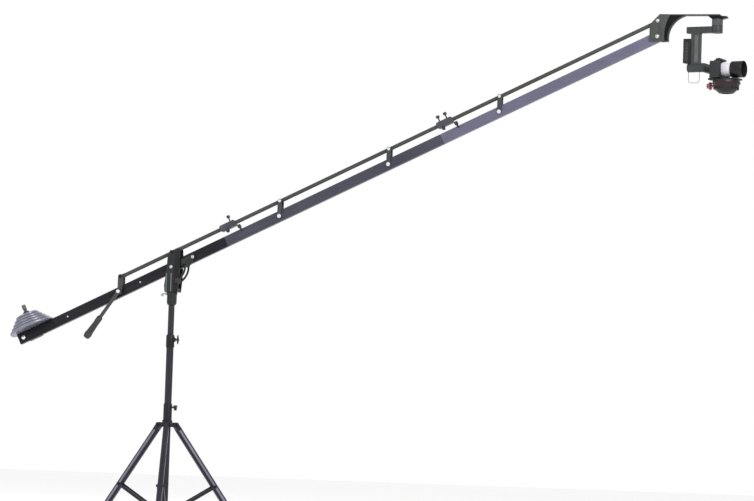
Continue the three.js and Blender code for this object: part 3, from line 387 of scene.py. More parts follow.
def grown(name, recipe, material, body, stands_for=(), **sizes):
    """Makes a piece with a geometry tree, built once for each recipe, that keeps its sizes as inputs."""
    if recipe.__name__ not in recipes:
        tree = bpy.data.node_groups.new(recipe.__name__, "GeometryNodeTree")
        kinds = {int: "NodeSocketInt", float: "NodeSocketFloat", tuple: "NodeSocketVector"}
        for key, value in sizes.items():
            tree.interface.new_socket(key, in_out="INPUT", socket_type=kinds[type(value)])
        tree.interface.new_socket("finish", in_out="INPUT", socket_type="NodeSocketMaterial")
        tree.interface.new_socket("Geometry", in_out="OUTPUT", socket_type="NodeSocketGeometry")
        Socket.tree = tree
        entry = tree.nodes.new("NodeGroupInput")
        made = recipe(**{key: Socket(entry.outputs[key]) for key in sizes})
        made = make_node("GeometryNodeRealizeInstances", {}, {0: made})
        coat = Socket(entry.outputs["finish"])
        made = make_node("GeometryNodeSetMaterial", {}, {"Geometry": made, "Material": coat})
        leaving = tree.nodes.new("NodeGroupOutput")
        tree.links.new(made.output, leaving.inputs[0])
        recipes[recipe.__name__] = tree
    tree = recipes[recipe.__name__]
    seed = bpy.data.objects.new(name + "_seed", bpy.data.meshes.new(name + "_seed"))
    bpy.context.scene.collection.objects.link(seed)
    modifier = seed.modifiers.new("recipe", "NODES")
    modifier.node_group = tree
    for item in tree.interface.items_tree:
        if item.in_out == "INPUT":
            modifier[item.identifier] = material if item.name == "finish" else sizes[item.name]
    graph = bpy.context.evaluated_depsgraph_get()
    mesh = bpy.data.meshes.new_from_object(seed.evaluated_get(graph), depsgraph=graph)
    seed.modifiers.clear()
    bpy.data.objects.remove(seed)
    mesh.name = name
    return placed(name, mesh, body, None, stands_for)


def moved(geometry, place=(0, 0, 0), turn=(0, 0, 0)):
    return make_node("GeometryNodeTransform", {}, {"Geometry": geometry, "Translation": place,
                                                   "Rotation": turn})


def joined(*pieces):
    together = make_node("GeometryNodeJoinGeometry")
    for piece in pieces:
        Socket.tree.links.new(piece.output, together.output.node.inputs[0])
    return together


def vector(x, y, z):
    return make_node("ShaderNodeCombineXYZ", {}, {0: x, 1: y, 2: z})


def filleted(curve, radius, count):
    return make_node("GeometryNodeFilletCurve", {"mode": "POLY"}, {"Curve": curve, "Radius": radius,
                                                                   "Count": count})


def swept(path, section, caps=True):
    return make_node("GeometryNodeCurveToMesh", {}, {"Curve": path, "Profile Curve": section,
                                                     "Fill Caps": caps})


def rounded_bar(size, corner):
    """A bar with rounded long edges, centred on the origin, that stands along Z."""
    parts = make_node("ShaderNodeSeparateXYZ", {}, {0: size})
    width, depth, height = (Socket(parts.output.node.outputs[i]) for i in range(3))
    outline = make_node("GeometryNodeCurvePrimitiveQuadrilateral", {}, {"Width": width, "Height": depth})
    outline = filleted(outline, corner, 3)
    path = make_node("GeometryNodeCurvePrimitiveLine", {}, {"Start": vector(0, 0, height * -0.5),
                                                            "End": vector(0, 0, height * 0.5)})
    return swept(path, outline)


def row_of_bars(first, step, size, corner, turn, count):
    """Equal rounded bars, each one step on from the last."""
    line = make_node("GeometryNodeMeshLine", {"mode": "OFFSET"}, {"Count": count, "Start Location": first,
                                                                 "Offset": step})
    bar = rounded_bar(size, corner)
    return make_node("GeometryNodeInstanceOnPoints", {}, {"Points": line, "Instance": bar, "Rotation": turn})


YOKE_FLOOR = TILT_AXIS.z - 0.122
RIB_HEIGHT = 0.088
# Much lighter than the yoke's coat: a painted highlight along the ribs.
rib_highlight_paint = coated("rib_highlight_paint", (0.095, 0.105, 0.105), 0.42, 0.2, 0.25)
for side, word in ((-1, "near"), (1, "far")):
    grown(f"yoke_ribs_{word}", row_of_bars, rib_highlight_paint, "yoke_fork",
          first=(-0.0215, side * 0.0295, YOKE_FLOOR + RIB_HEIGHT / 2 + 0.004), step=(0.0235, 0.0, 0.0),
          size=(0.0065, 0.004, RIB_HEIGHT), corner=0.001, turn=(0.0, 0.0, 0.0), count=2)


def bolt_pair(at, half_span, radius, height, sides):
    """Two bolt heads that face each other across a joint, each with its washer."""
    head = make_node("GeometryNodeMeshCylinder", {}, {"Vertices": sides, "Radius": radius, "Depth": height})
    washer = make_node("GeometryNodeMeshCylinder", {}, {"Vertices": 28, "Radius": radius * 1.25,
                                                      "Depth": height * 0.3})
    crown = make_node("GeometryNodeMeshCylinder", {}, {"Vertices": 20, "Radius": radius * 0.72,
                                                     "Depth": height * 0.25})
    bolt = joined(moved(head, vector(0, 0, height * 0.5)), moved(washer, vector(0, 0, height * 0.15)),
                  moved(crown, vector(0, 0, height * 1.1)))
    parts = make_node("ShaderNodeSeparateXYZ", {}, {0: at})
    x, y, z = (Socket(parts.output.node.outputs[i]) for i in range(3))
    line = make_node("GeometryNodeMeshLine", {"mode": "END_POINTS"}, {
        "Count": 2, "Start Location": vector(x, y - half_span, z), "Offset": vector(x, y + half_span, z)})
    turn = make_node("GeometryNodeInputIndex") * -math.pi + math.pi / 2
    return make_node("GeometryNodeInstanceOnPoints", {}, {"Points": line, "Instance": bolt,
                                                         "Rotation": vector(turn, 0, 0)})


REST_TILT = math.radians(25.5)
ALONG_BOOM = Vector((math.cos(REST_TILT), 0, math.sin(REST_TILT)))
LINK_RISE = Vector((0, 0, 0.074))


def on_boom(distance, raised=0.0):
    """A point on the boom's centre line, that far from the tilt axis."""
    return TILT_AXIS + ALONG_BOOM * distance + Vector((0, 0, raised))


grown("rod_pin_heads", bolt_pair, black_zinc, "yoke_fork", at=tuple(TILT_AXIS + LINK_RISE), half_span=0.0315,
      radius=0.0058, height=0.004, sides=6)

# ---- Quadrant and tilt lock ----
# A laser-cut plate bolted to the near side of the boom. The lock's stud runs in its curved slot.

broken_edges("quadrant_plate", cast_paint, 0.0006)
QUADRANT_BOLT = on_boom(0.118)
shape = bmesh.new()
dome(shape, QUADRANT_BOLT + Vector((0, -0.0255, 0)), (0, -1, 0), 0.0078, 0.005)
poured("quadrant_bolt", shape, "boom", axle_steel)

# ---- Boom sections ----
# Extruded aluminium box tube in three lengths that plug together. All three are anodised; their tones,
# near-black at the rear and blue-grey, lighter towards the head, are a painted sheen. A moulded cap closes
# the rear end, with a cross bolt through it.


def anodised(name, colour, roughness):
    """Dyed aluminium: fine drawn lines along the boom, with soft stains."""
    along = (0, REST_TILT, 0)
    lines = (0.4, 30, 30)
    pale = [c * 1.22 + 0.004 for c in colour]
    return finish(
        name,
        lambda: mixed(spread(grain(5, 5), 0.3, 0.72, 0, 0.8),
                      mixed(grain(14, 2, lines, along), colour, pale), [c * 0.78 for c in colour]),
        lambda: spread(grain(30, 3, lines, along), 0.3, 0.7, roughness - 0.06, roughness + 0.08),
        0.35, lambda: grain(60, 2, lines, along), 0.00008,
    )


# Three copies of one anodised finish, lighter from rear to front: a painted sheen.
rear_boom_least_sheen = anodised("rear_boom_least_sheen", (0.0075, 0.0075, 0.011), 0.36)
middle_boom_some_sheen = anodised("middle_boom_some_sheen", (0.046, 0.046, 0.064), 0.38)
front_boom_most_sheen = anodised("front_boom_most_sheen", (0.100, 0.097, 0.145), 0.38)
BOOM_SECTIONS = (("boom_section_rear", rear_boom_least_sheen), ("boom_section_middle", middle_boom_some_sheen),
                 ("boom_section_front", front_boom_most_sheen))
for node, sheen_tone in BOOM_SECTIONS:
    broken_edges(node, sheen_tone, 0.0004)
BOOM_PLACE = Matrix.Translation(TILT_AXIS) @ Matrix.Rotation(-REST_TILT, 4, "Y")
BOOM_REAR = -0.865
BOOM_HALF_WIDTH, BOOM_HALF_HEIGHT = 0.015, 0.025
shape = bmesh.new()
blocks(shape, (BOOM_REAR + 0.0008, -0.0121, -0.0221), (BOOM_REAR + 0.024, 0.0121, 0.0221), BOOM_PLACE, 0.0015)
poured("boom_end_cap", shape, "boom", knob_plastic)
shape = bmesh.new()
for side in (-1, 1):
    axis = (0, side, 0)
    dome(shape, BOOM_PLACE @ Vector((BOOM_REAR + 0.027, side * BOOM_HALF_WIDTH, 0)), axis, 0.0090, 0.0050)
poured("boom_end_bolt", shape, "boom", bright_steel)
shape = bmesh.new()
for along in (-0.587, -0.178):
    for side in (-1, 1):
        dome(shape, BOOM_PLACE @ Vector((along, side * BOOM_HALF_WIDTH, 0)), (0, side, 0), 0.0040, 0.0014)
poured("boom_side_screws", shape, "boom", axle_steel)

# ---- Joint screws ----
# Steel clamp screws with plain moulded heads, one after each joint, leaning to the near side.

for number in (1, 2):
    broken_edges(f"boom_knob_{number}", knob_plastic, 0.001)

# ---- Tie rods, clamp blocks and links ----
# The rods are aluminium tube in a slightly green grey. Blocks clamp the front rod's lengths together
# and carry lock screws, and three pairs of links hold it parallel to the boom.

rod_anodise = anodised("rod_anodise", (0.047, 0.049, 0.045), 0.42)
block_anodise = coated("block_anodise", (0.050, 0.049, 0.062), 0.4, 0.3)
link_anodise = coated("link_anodise", (0.040, 0.042, 0.050), 0.4, 0.3)
broken_edges("rear_tie_rod", rod_anodise, 0.0005)
broken_edges("front_tie_rod", rod_anodise, 0.0004)
SCREWS = {1: ("top_1", "side"), 2: ("top_1", "top_2", "side")}
for number, places in SCREWS.items():
    broken_edges(f"rod_block_{number}", block_anodise, 0.0012)
    for place in places:
        broken_edges(f"rod_screw_{number}_{place}", knob_plastic, 0.0009)
LINK_SPACING = 0.595
LINK_OUTSIDE = 0.021
for number in (1, 2, 3):
    broken_edges(f"link_{number}", link_anodise, 0.0006)
    for word, rise, radius in (("lower", 0, 0.0078), ("upper", 0.074, 0.0060)):
        grown(f"link_{number}_{word}_bolts", bolt_pair, bright_steel, f"link_{number}_body",
              at=tuple(on_boom(LINK_SPACING * number, rise)), half_span=LINK_OUTSIDE + 0.0001, radius=radius,
              height=0.0048, sides=6)

# ---- Handle ----
# A painted crank with a bar on the near side, and a ribbed closed-cell foam grip that swells towards
# its end.

broken_edges("handle_crank", rod_anodise, 0.0006)
CRANK_AT = on_boom(-0.291)
for word, rise, radius, plating in (("lower", 0, 0.0078, bright_steel), ("upper", 0.074, 0.0060, black_zinc)):
    grown(f"crank_{word}_bolts", bolt_pair, plating, "crank", at=tuple(CRANK_AT + Vector((0, 0, rise))),
          half_span=LINK_OUTSIDE + 0.0001, radius=radius, height=0.0048, sides=6)
shape = bmesh.new()
dome(shape, CRANK_AT + Vector((0, -0.0468, 0)), (0, -1, 0), 0.0078, 0.0035)
poured("crank_boss_nut", shape, "crank", bright_steel)
HANDLE_LEAN = math.radians(35)
HANDLE_DOWN = Vector((-math.sin(HANDLE_LEAN), 0, -math.cos(HANDLE_LEAN)))
GRIP_FROM, GRIP_LENGTH = 0.154, 0.126
grip_foam = finish(
    "grip_foam",
    lambda: mixed(spread(grain(110, 5), 0.35, 0.7, 0, 1), (0.026, 0.028, 0.024), (0.058, 0.061, 0.052)),
    0.88, 0, lambda: grain(420, 5), 0.0008,
)
GRIP_SWELL = ((0, 0.0128), (0.008, 0.0148), (0.040, 0.0142), (0.084, 0.0160), (0.106, 0.0186),
              (0.122, 0.0158))


def grip_radius(along):
    """The grip's radius: its swell, pinched where a shallow groove runs round it."""
    radius = GRIP_SWELL[-1][1]
    for (start, low), (end, high) in zip(GRIP_SWELL, GRIP_SWELL[1:]):
        if start <= along <= end:
            t = (along - start) / (end - start)
            radius = low + (high - low) * t * t * (3 - 2 * t)
    groove = 0.5 + 0.5 * math.cos(2 * math.pi * along / 0.0105)
    return radius - 0.0007 * groove ** 6


steps = 96
swell = [(grip_radius(GRIP_LENGTH * i / steps), GRIP_LENGTH * i / steps) for i in range(steps + 1)
         if 0.001 < GRIP_LENGTH * i / steps < GRIP_LENGTH - 0.003]
GRIP_BORE, BORE_DEPTH = 0.0094, 0.112
grip_outline = [(GRIP_BORE, BORE_DEPTH), (GRIP_BORE, 0), (0.0118, 0), *swell, (0.0105, GRIP_LENGTH),
                (0, GRIP_LENGTH), (0, BORE_DEPTH), (GRIP_BORE, BORE_DEPTH)]
turned("foam_grip", grip_outline, CRANK_AT + Vector((0, -0.038, 0)) + HANDLE_DOWN * GRIP_FROM, HANDLE_DOWN,
       "crank", grip_foam, ("handle_grip",))

# ---- Counterweights ----
# Five turned steel discs, each smaller than the one below, on a threaded post with a hand nut on top.
# Their turned faces are left bright, with a lacquer that keeps a lilac tinge.


def disc_ring(radius, bore, thickness, edge):
    """A ring with rounded edges: a rounded section carried round a circle."""
    section = make_node("GeometryNodeCurvePrimitiveQuadrilateral", {}, {"Width": radius - bore,
                                                                       "Height": thickness})
    middle = (radius + bore) * 0.5
    circle = make_node("GeometryNodeCurvePrimitiveCircle", {}, {"Resolution": 96, "Radius": middle})
    return swept(circle, filleted(section, edge, 4), False)


disc_steel = finish(
    "disc_steel", lambda: mixed(grain(7, 4), (0.150, 0.155, 0.195), (0.235, 0.240, 0.290)),
    lambda: spread(grain(160, 2, (1, 1, 6)), 0.3, 0.7, 0.26, 0.42), 0.55,
    lambda: grain(240, 2, (1, 1, 8)), 0.00008,
)
POST_AT = 0.782
DISC_COUNT = 5
DISC_THICKNESS, DISC_GAP = 0.0147, 0.0003
DISC_LARGEST, DISC_STEP = 0.113, 0.0135
POST_PLACE = BOOM_PLACE @ Matrix.Translation((-POST_AT, 0, 0))
POST_RADIUS = 0.0085


def set_down(piece, place):
    """Moves a piece's mesh to its place in the row frame."""
    piece.data.transform(place)
    return piece


for i in range(DISC_COUNT):
    middle = BOOM_HALF_HEIGHT + DISC_GAP + i * (DISC_THICKNESS + DISC_GAP) + DISC_THICKNESS / 2
    disc = grown(f"disc_{i + 1}", disc_ring, disc_steel, "boom", (f"weight_disc_{i + 1}",),
                 radius=DISC_LARGEST - i * DISC_STEP, bore=POST_RADIUS + 0.0003,
                 thickness=DISC_THICKNESS - 0.001, edge=0.0050)
    set_down(disc, POST_PLACE @ Matrix.Translation((0, 0, middle)))
post_paint = coated("post_paint", (0.085, 0.088, 0.095), 0.38, 0.4)
broken_edges("weight_post", post_paint, 0.0005)


def post_thread(radius, height, turns, wire):
    """A rolled thread: a fine round section carried along a helix."""
    helix = make_node("GeometryNodeCurveSpiral", {}, {
        "Resolution": 20, "Rotations": turns, "Start Radius": radius, "End Radius": radius, "Height": height})
    section = make_node("GeometryNodeCurvePrimitiveCircle", {}, {"Resolution": 6, "Radius": wire})
    return swept(helix, section)


STACK_TOP = BOOM_HALF_HEIGHT + DISC_COUNT * (DISC_THICKNESS + DISC_GAP) + DISC_GAP
thread = grown("post_thread", post_thread, post_paint, "boom", radius=POST_RADIUS - 0.0002, height=0.026,
               turns=13.0, wire=0.0006)
set_down(thread, POST_PLACE @ Matrix.Translation((0, 0, STACK_TOP + 0.016)))
nut = turned("post_nut", [(POST_RADIUS + 0.0002, 0), *rounded(
    [(0.013, 0), (0.0165, 0.0005), (0.0165, 0.012), (0.0135, 0.014), (0.011, 0.014)], 0.001),
    (POST_RADIUS + 0.0002, 0.014), (POST_RADIUS + 0.0002, 0)], (0, 0, 0), FLOOR_UP, "boom", knob_plastic)
set_down(nut, POST_PLACE @ Matrix.Translation((0, 0, STACK_TOP + 0.0006)))
cap_grey = finish("cap_grey", (0.10, 0.10, 0.105), 0.5)
cap_side = rounded([(0.009, 0), (0.0105, 0.0005), (0.0105, 0.021), (0.0085, 0.0235)], 0.001)
cap = turned("post_cap", [(0, 0), *cap_side, (0, 0.0238)], (0, 0, 0), FLOOR_UP, "boom", cap_grey)
set_down(cap, POST_PLACE @ Matrix.Translation((0, 0, 0.126)))

# ---- Head plates, arch and strap ----
# Two cut plates in a matt grey-green coat, bolted to the boom and the front rod with domed nuts, a
# curved band between them in near-black as painted shade, and a thin level strap out to the gimbal.

head_paint = coated("head_paint", (0.037, 0.043, 0.039), 0.55, 0.05, 0.2)
# Near-black: painted shade on the head arch, and the gimbal mount's own black.
black_and_arch_shade = coated("black_and_arch_shade", (0.003, 0.003, 0.004), 0.4, 0.0, 0.05, Specular_IOR_Level=0.1)
for node in ("head_plate_near", "head_plate_far"):
    broken_edges(node, head_paint, 0.0008)
broken_edges("head_arch", black_and_arch_shade, 0.0015)
strap = broken_edges("head_strap", head_paint, 0.0008)
broken_edges("gimbal_mount", black_and_arch_shade, 0.0015)
HEAD = on_boom(2.620)
HEAD_OUTSIDE = 0.0283
for corner in strap.data.vertices:
    if corner.co.z > HEAD.z + 0.105:
        corner.co.z -= 0.0012
for word, body, rise, radius in (("lower", "boom", 0, 0.0098), ("upper", "front_rod", 0.074, 0.0088)):
    shape = bmesh.new()
    for side in (-1, 1):
        dome(shape, HEAD + Vector((0, side * (HEAD_OUTSIDE - 0.0046), rise)), (0, side, 0), radius, 0.0085)
    poured(f"head_{word}_nuts", shape, body, axle_steel)
shape = bmesh.new()
for x in (0.062, 0.086, 0.250, 0.274):
    dome(shape, HEAD + Vector((x, 0, 0.1057)), FLOOR_UP, 0.005, 0.0011)
poured("strap_screws", shape, "head", bright_steel)

# ---- Pan motor and pan arm ----
# Motor cans in dark moulded shells: fine ribs round the pan motor, a black boom arm, a grey upright
# with a button and a lamp, and a steel wire bail under the roll motor.

gimbal_grey = finish(
    "gimbal_grey",
    lambda: mixed(spread(grain(14, 5), 0.3, 0.7, 0, 1), (0.020, 0.023, 0.023), (0.038, 0.042, 0.042)),
    lambda: spread(grain(220, 3), 0.3, 0.7, 0.38, 0.52), 0.1, lambda: grain(1100, 2), 0.00015,
)
gimbal_black = finish(
    "gimbal_black", lambda: mixed(grain(20), (0.005, 0.005, 0.006), (0.010, 0.010, 0.012)),
    lambda: spread(grain(220, 3), 0.3, 0.7, 0.34, 0.48), 0, lambda: grain(1100, 2), 0.00015,
)
rib_grey = finish("rib_grey", (0.080, 0.088, 0.090), 0.42, 0.2)
PAN_AXIS = HEAD + Vector((0.280, 0, 0))
PAN_PLACE = Matrix.Translation(PAN_AXIS) @ Matrix.Rotation(math.radians(-14), 4, "Z")
MOTOR_RADIUS = 0.026
MOTOR_LOW, MOTOR_HIGH, ARM_LOW = 0.0513, 0.084, 0.018
turned("pan_motor_can", [(0, MOTOR_LOW), *rounded(
    [(0.020, MOTOR_LOW), (MOTOR_RADIUS - 0.001, MOTOR_LOW), (MOTOR_RADIUS - 0.001, MOTOR_HIGH - 0.004),
     (MOTOR_RADIUS, MOTOR_HIGH - 0.003), (MOTOR_RADIUS, MOTOR_HIGH), (0.02, MOTOR_HIGH)], 0.001),
    (0, MOTOR_HIGH)], PAN_AXIS, FLOOR_UP, "head", gimbal_grey, ("pan_motor",), 64)


def ribbed_ring(radius, height, rib, count):
    """Upright ribs spaced evenly round a circle."""
    circle = make_node("GeometryNodeMeshCircle", {}, {"Vertices": count, "Radius": radius})
    bar = rounded_bar(vector(rib, rib, height), rib * 0.35)
    turn = make_node("GeometryNodeInputIndex") * (2 * math.pi) / count
    return make_node("GeometryNodeInstanceOnPoints", {}, {"Points": circle, "Instance": bar,
                                                         "Rotation": vector(0, 0, turn)})


for word, body, low, high in (("upper", "head", MOTOR_LOW + 0.002, MOTOR_HIGH - 0.005),
                              ("lower", "gimbal_pan", ARM_LOW + 0.004, 0.048)):
    ribs = grown(f"pan_ribs_{word}", ribbed_ring, rib_grey, body, radius=MOTOR_RADIUS - 0.0011,
                 height=high - low, rib=0.0019, count=36)
    set_down(ribs, Matrix.Translation(PAN_AXIS + Vector((0, 0, (low + high) / 2))))
shape = bmesh.new()
shape.from_mesh(frame["nodes"]["pan_arm"].data)
bmesh.ops.remove_doubles(shape, verts=shape.verts, dist=2e-5)
bmesh.ops.dissolve_limit(shape, angle_limit=math.radians(0.5), verts=shape.verts, edges=shape.edges)
sharp = [edge for edge in shape.edges if len(edge.link_faces) == 2 and edge.calc_face_angle(0) > 0.56]
bmesh.ops.bevel(shape, geom=sharp, offset=0.0025, segments=3, profile=0.6, affect="EDGES",
                clamp_overlap=True)
mesh = bpy.data.meshes.new("pan_arm_shell")
shape.to_mesh(mesh)
shape.free()
arm = placed("pan_arm_shell", mesh, "gimbal_pan", gimbal_grey, ("pan_arm",))
arm.data.materials.append(gimbal_black)
to_pan = PAN_PLACE.inverted()
for face in arm.data.polygons:
    centre = to_pan @ face.center
    if centre.z > 0.012 and centre.x < -0.027:
        face.material_index = 1
ROLL_Z = -0.143
UPRIGHT_LEFT, UPRIGHT_RIGHT, UPRIGHT_HALF = -0.1265, -0.0835, 0.015
shape = bmesh.new()
blocks(shape, (UPRIGHT_RIGHT - 0.024, -UPRIGHT_HALF - 0.0012, -0.120),
       (UPRIGHT_RIGHT - 0.004, -UPRIGHT_HALF + 0.001, 0.010), PAN_PLACE, 0.001)
trim_grey = coated("trim_grey", (0.052, 0.060, 0.056), 0.4, 0.1, 0.5)
poured("upright_trim", shape, "gimbal_pan", trim_grey)
shape = bmesh.new()
dome(shape, PAN_PLACE @ Vector((UPRIGHT_RIGHT - 0.012, -UPRIGHT_HALF - 0.001, -0.012)), PAN_PLACE.to_3x3() @
     Vector((0, -1, 0)), 0.0042, 0.003)
poured("upright_button", shape, "gimbal_pan", rib_grey)


def wire_bail(width, drop, wire, bend):
    """A closed wire loop with bent corners, in the XZ plane."""
    loop = make_node("GeometryNodeCurvePrimitiveQuadrilateral", {}, {"Width": width, "Height": drop})
    section = make_node("GeometryNodeCurvePrimitiveCircle", {}, {"Resolution": 12, "Radius": wire})
    return moved(swept(filleted(loop, bend, 8), section, False), (0, 0, 0), (math.pi / 2, 0, 0))


bail = grown("wire_bail", wire_bail, rib_grey, "gimbal_pan", width=0.056, drop=0.062, wire=0.0012,
             bend=0.014)
set_down(bail, PAN_PLACE @ Matrix.Translation((-0.111, -0.004, ROLL_Z - 0.040)))

# ---- Battery ----
# A moulded pack clipped behind the upright, with cooling slots down its back and sides and a bright
# latch.

broken_edges("battery_box", gimbal_black, 0.0025)
battery_low, battery_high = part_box("battery_box")
BATTERY_RIGHT = UPRIGHT_LEFT - 0.0003
BATTERY_TOP, BATTERY_BOTTOM = battery_high[2] - HEAD.z, battery_low[2] - HEAD.z
for name, side in (("battery_fins", -1), ("battery_fins_far", 1)):
    fins = grown(name, row_of_bars, rib_grey, "gimbal_pan", first=(BATTERY_RIGHT - 0.030, side * 0.0217, 0.0),
                 step=(0.0, 0.0, 0.0068), size=(0.0018, 0.0014, 0.016), corner=0.0004,
                 turn=(0.0, math.pi / 2, 0.0), count=13)
    set_down(fins, PAN_PLACE @ Matrix.Translation((0.012, 0, BATTERY_BOTTOM + 0.014)))

# ---- Roll arm and cradle ----
# The roll motor turns an arm that reaches round to the tilt motor, and the cradle under it holds the
# camera. Both are moulded shells over aluminium, the dish below has a dark red anodised band.

cradle_black = finish(
    "cradle_black", lambda: mixed(grain(30), (0.006, 0.007, 0.008), (0.013, 0.014, 0.015)),
    lambda: spread(grain(220, 3), 0.3, 0.7, 0.32, 0.46), 0, lambda: grain(900, 2), 0.00015,
)
band_red = finish("band_red", lambda: mixed(grain(40), (0.022, 0.005, 0.008), (0.055, 0.012, 0.018)),
                  0.36, 0.4)
broken_edges("roll_arm", gimbal_grey, 0.002)
broken_edges("tilt_cradle", cradle_black, 0.0012)
roll_rim = rounded([(0.010, -0.0012), (0.0165, -0.0004), (0.0165, 0.0012)], 0.0005)
turned("roll_motor_cap", [(0, -0.0012), *roll_rim, (0, 0.0012)],
       PAN_PLACE @ Vector((UPRIGHT_LEFT - 0.0158, 0, ROLL_Z)), PAN_PLACE.to_3x3() @ Vector((1, 0, 0)),
       "gimbal_pan", rib_grey)
TILT_X = 0.020
BODY_BOTTOM = -0.197
CRADLE_BASE = BODY_BOTTOM - 0.0083
DISH_AT = PAN_PLACE @ Vector((TILT_X + 0.034, 0, CRADLE_BASE))
band = [(0.0655, -0.0175), (0.0668, -0.0165), (0.0668, -0.0120), (0.0650, -0.0105), (0.0600, -0.0110),
        (0.0600, -0.0170), (0.0655, -0.0175)]
turned("dish_band", band, DISH_AT, FLOOR_UP, "camera_cradle", band_red, (), 72)
ribs = grown("dish_ribs", ribbed_ring, band_red, "camera_cradle", radius=0.0585, height=0.024, rib=0.0040,
             count=22)
set_down(ribs, Matrix.Translation(DISH_AT + Vector((0, 0, -0.033))))
tilt_end = PAN_PLACE @ Vector((TILT_X, 0.1085, ROLL_Z))
tilt_rim = rounded([(0.012, -0.002), (0.0185, -0.0016), (0.0185, 0.0006)], 0.0005)
turned("tilt_motor_cap", [(0, -0.002), *tilt_rim, (0, 0.0008)], tilt_end,
       PAN_PLACE.to_3x3() @ Vector((0, 1, 0)), "gimbal_roll", rib_grey)
knob_red = finish("knob_red", lambda: mixed(grain(60), (0.19, 0.060, 0.085), (0.28, 0.100, 0.125)), 0.36, 0.3)
broken_edges("cradle_knob", knob_red, 0.0012)

# ---- Camera ----
# A mirrorless stills camera: a textured black shell with a leathered grip, a finder hump with its shoe,
# dials and a shutter button on top, a screen on the back, and strap lugs.

leathered = finish("leathered", lambda: mixed(grain(900, 2), (0.007, 0.008, 0.009), (0.022, 0.024, 0.026)),
                   0.62, 0, lambda: grain(1400, 3), 0.0004)
camera_black = finish(
    "camera_black", lambda: mixed(grain(40), (0.012, 0.014, 0.016), (0.020, 0.023, 0.026)),
    lambda: spread(grain(500, 2), 0.3, 0.7, 0.36, 0.5), 0, lambda: grain(1500, 2), 0.0001,
)
screen_glass = finish("screen_glass", (0.004, 0.005, 0.007), 0.08, 0, Coat_Weight=1.0, Coat_Roughness=0.03)
camera = broken_edges("camera_body", camera_black, 0.0028)
camera.data.materials.append(leathered)
for face in camera.data.polygons:
    centre = to_pan @ face.center
    if centre.y < -0.037 and centre.z < BODY_BOTTOM + 0.064:
        face.material_index = 1
CAMERA_BACK, CAMERA_FRONT = -0.008, 0.032
CAMERA_TOP = BODY_BOTTOM + 0.078
HUMP_TOP = CAMERA_TOP + 0.0172


def dial(shape, x, y, z, radius, height, teeth):
    """A knurled dial that stands on the camera's top."""
    at = PAN_PLACE @ Vector((x, y, z))
    outline = [(0, 0), (radius, 0), (radius, height * 0.8), (radius * 0.9, height), (0, height)]
    lathe(shape, outline, at, FLOOR_UP, 32)
    for i in range(teeth):
        turn = Matrix.Translation(at) @ Matrix.Rotation(2 * math.pi * i / teeth, 4, "Z")
        blocks(shape, (radius - 0.0003, -0.0004, 0.0008), (radius + 0.0005, 0.0004, height * 0.8), turn)


shape = bmesh.new()
dial(shape, 0.012, -0.034, CAMERA_TOP - 0.0005, 0.0085, 0.0065, 30)
dial(shape, 0.012, 0.044, CAMERA_TOP - 0.0005, 0.0095, 0.0055, 34)
dial(shape, 0.033, -0.049, CAMERA_TOP - 0.0125, 0.0055, 0.0040, 20)
poured("camera_dials", shape, "camera_cradle", camera_black)
shape = bmesh.new()
blocks(shape, (0.008, -0.010, HUMP_TOP - 0.0018), (0.022, -0.0075, HUMP_TOP + 0.0018), PAN_PLACE, 0.0003)
blocks(shape, (0.008, 0.0075, HUMP_TOP - 0.0018), (0.022, 0.010, HUMP_TOP + 0.0018), PAN_PLACE, 0.0003)
poured("camera_shoe", shape, "camera_cradle", bright_steel)
shape = bmesh.new()
blocks(shape, (CAMERA_BACK - 0.0014, -0.034, BODY_BOTTOM + 0.010),
       (CAMERA_BACK + 0.001, 0.034, BODY_BOTTOM + 0.060), PAN_PLACE, 0.0012)
poured("camera_screen", shape, "camera_cradle", screen_glass)

# ---- Lens and hood ----
# A white-lacquered telephoto barrel with a ribbed rubber ring, a screwed-on black hood with a flocked
# inside, and coated glass behind it.

lens_white = finish("lens_white", lambda: mixed(grain(12, 4), (0.44, 0.43, 0.46), (0.54, 0.53, 0.56)),
                    0.3, 0, Coat_Weight=0.4, Coat_Roughness=0.15)
hood_black = finish("hood_black", (0.006, 0.006, 0.007), lambda: spread(grain(300), 0.3, 0.7, 0.26, 0.36))
hood_flock = finish("hood_flock", (0.002, 0.002, 0.002), 0.95)
lens_glass = finish("lens_glass", (0.010, 0.006, 0.018), 0.03, 0, Coat_Weight=1.0, Coat_Roughness=0.01,
                    Specular_IOR_Level=0.8)
LENS_FROM = CAMERA_FRONT + 0.0003
LENS_LENGTH, HOOD_LENGTH = 0.049, 0.060
LENS_RADIUS, HOOD_RADIUS = 0.035, 0.0395
LENS_AXIS = PAN_PLACE.to_3x3() @ Vector((1, 0, 0))
LENS_AT = PAN_PLACE @ Vector((LENS_FROM, 0, BODY_BOTTOM + 0.042))
barrel = [(0, 0), (LENS_RADIUS - 0.0030, 0), (LENS_RADIUS - 0.0022, 0.003), (LENS_RADIUS, 0.005),
          (LENS_RADIUS, 0.012), (LENS_RADIUS - 0.0014, 0.0126), (LENS_RADIUS - 0.0014, 0.0140),
          (LENS_RADIUS, 0.0146), (LENS_RADIUS, 0.0300), (LENS_RADIUS - 0.0014, 0.0306),
          (LENS_RADIUS - 0.0014, 0.0320), (LENS_RADIUS, 0.0326), (LENS_RADIUS, LENS_LENGTH - 0.001),
          (LENS_RADIUS - 0.001, LENS_LENGTH), (0, LENS_LENGTH)]
turned("lens_barrel_turned", barrel, LENS_AT, LENS_AXIS, "camera_cradle", lens_white, ("lens_barrel",), 96)
HOOD_AT = LENS_AT + LENS_AXIS * (LENS_LENGTH + 0.0003)
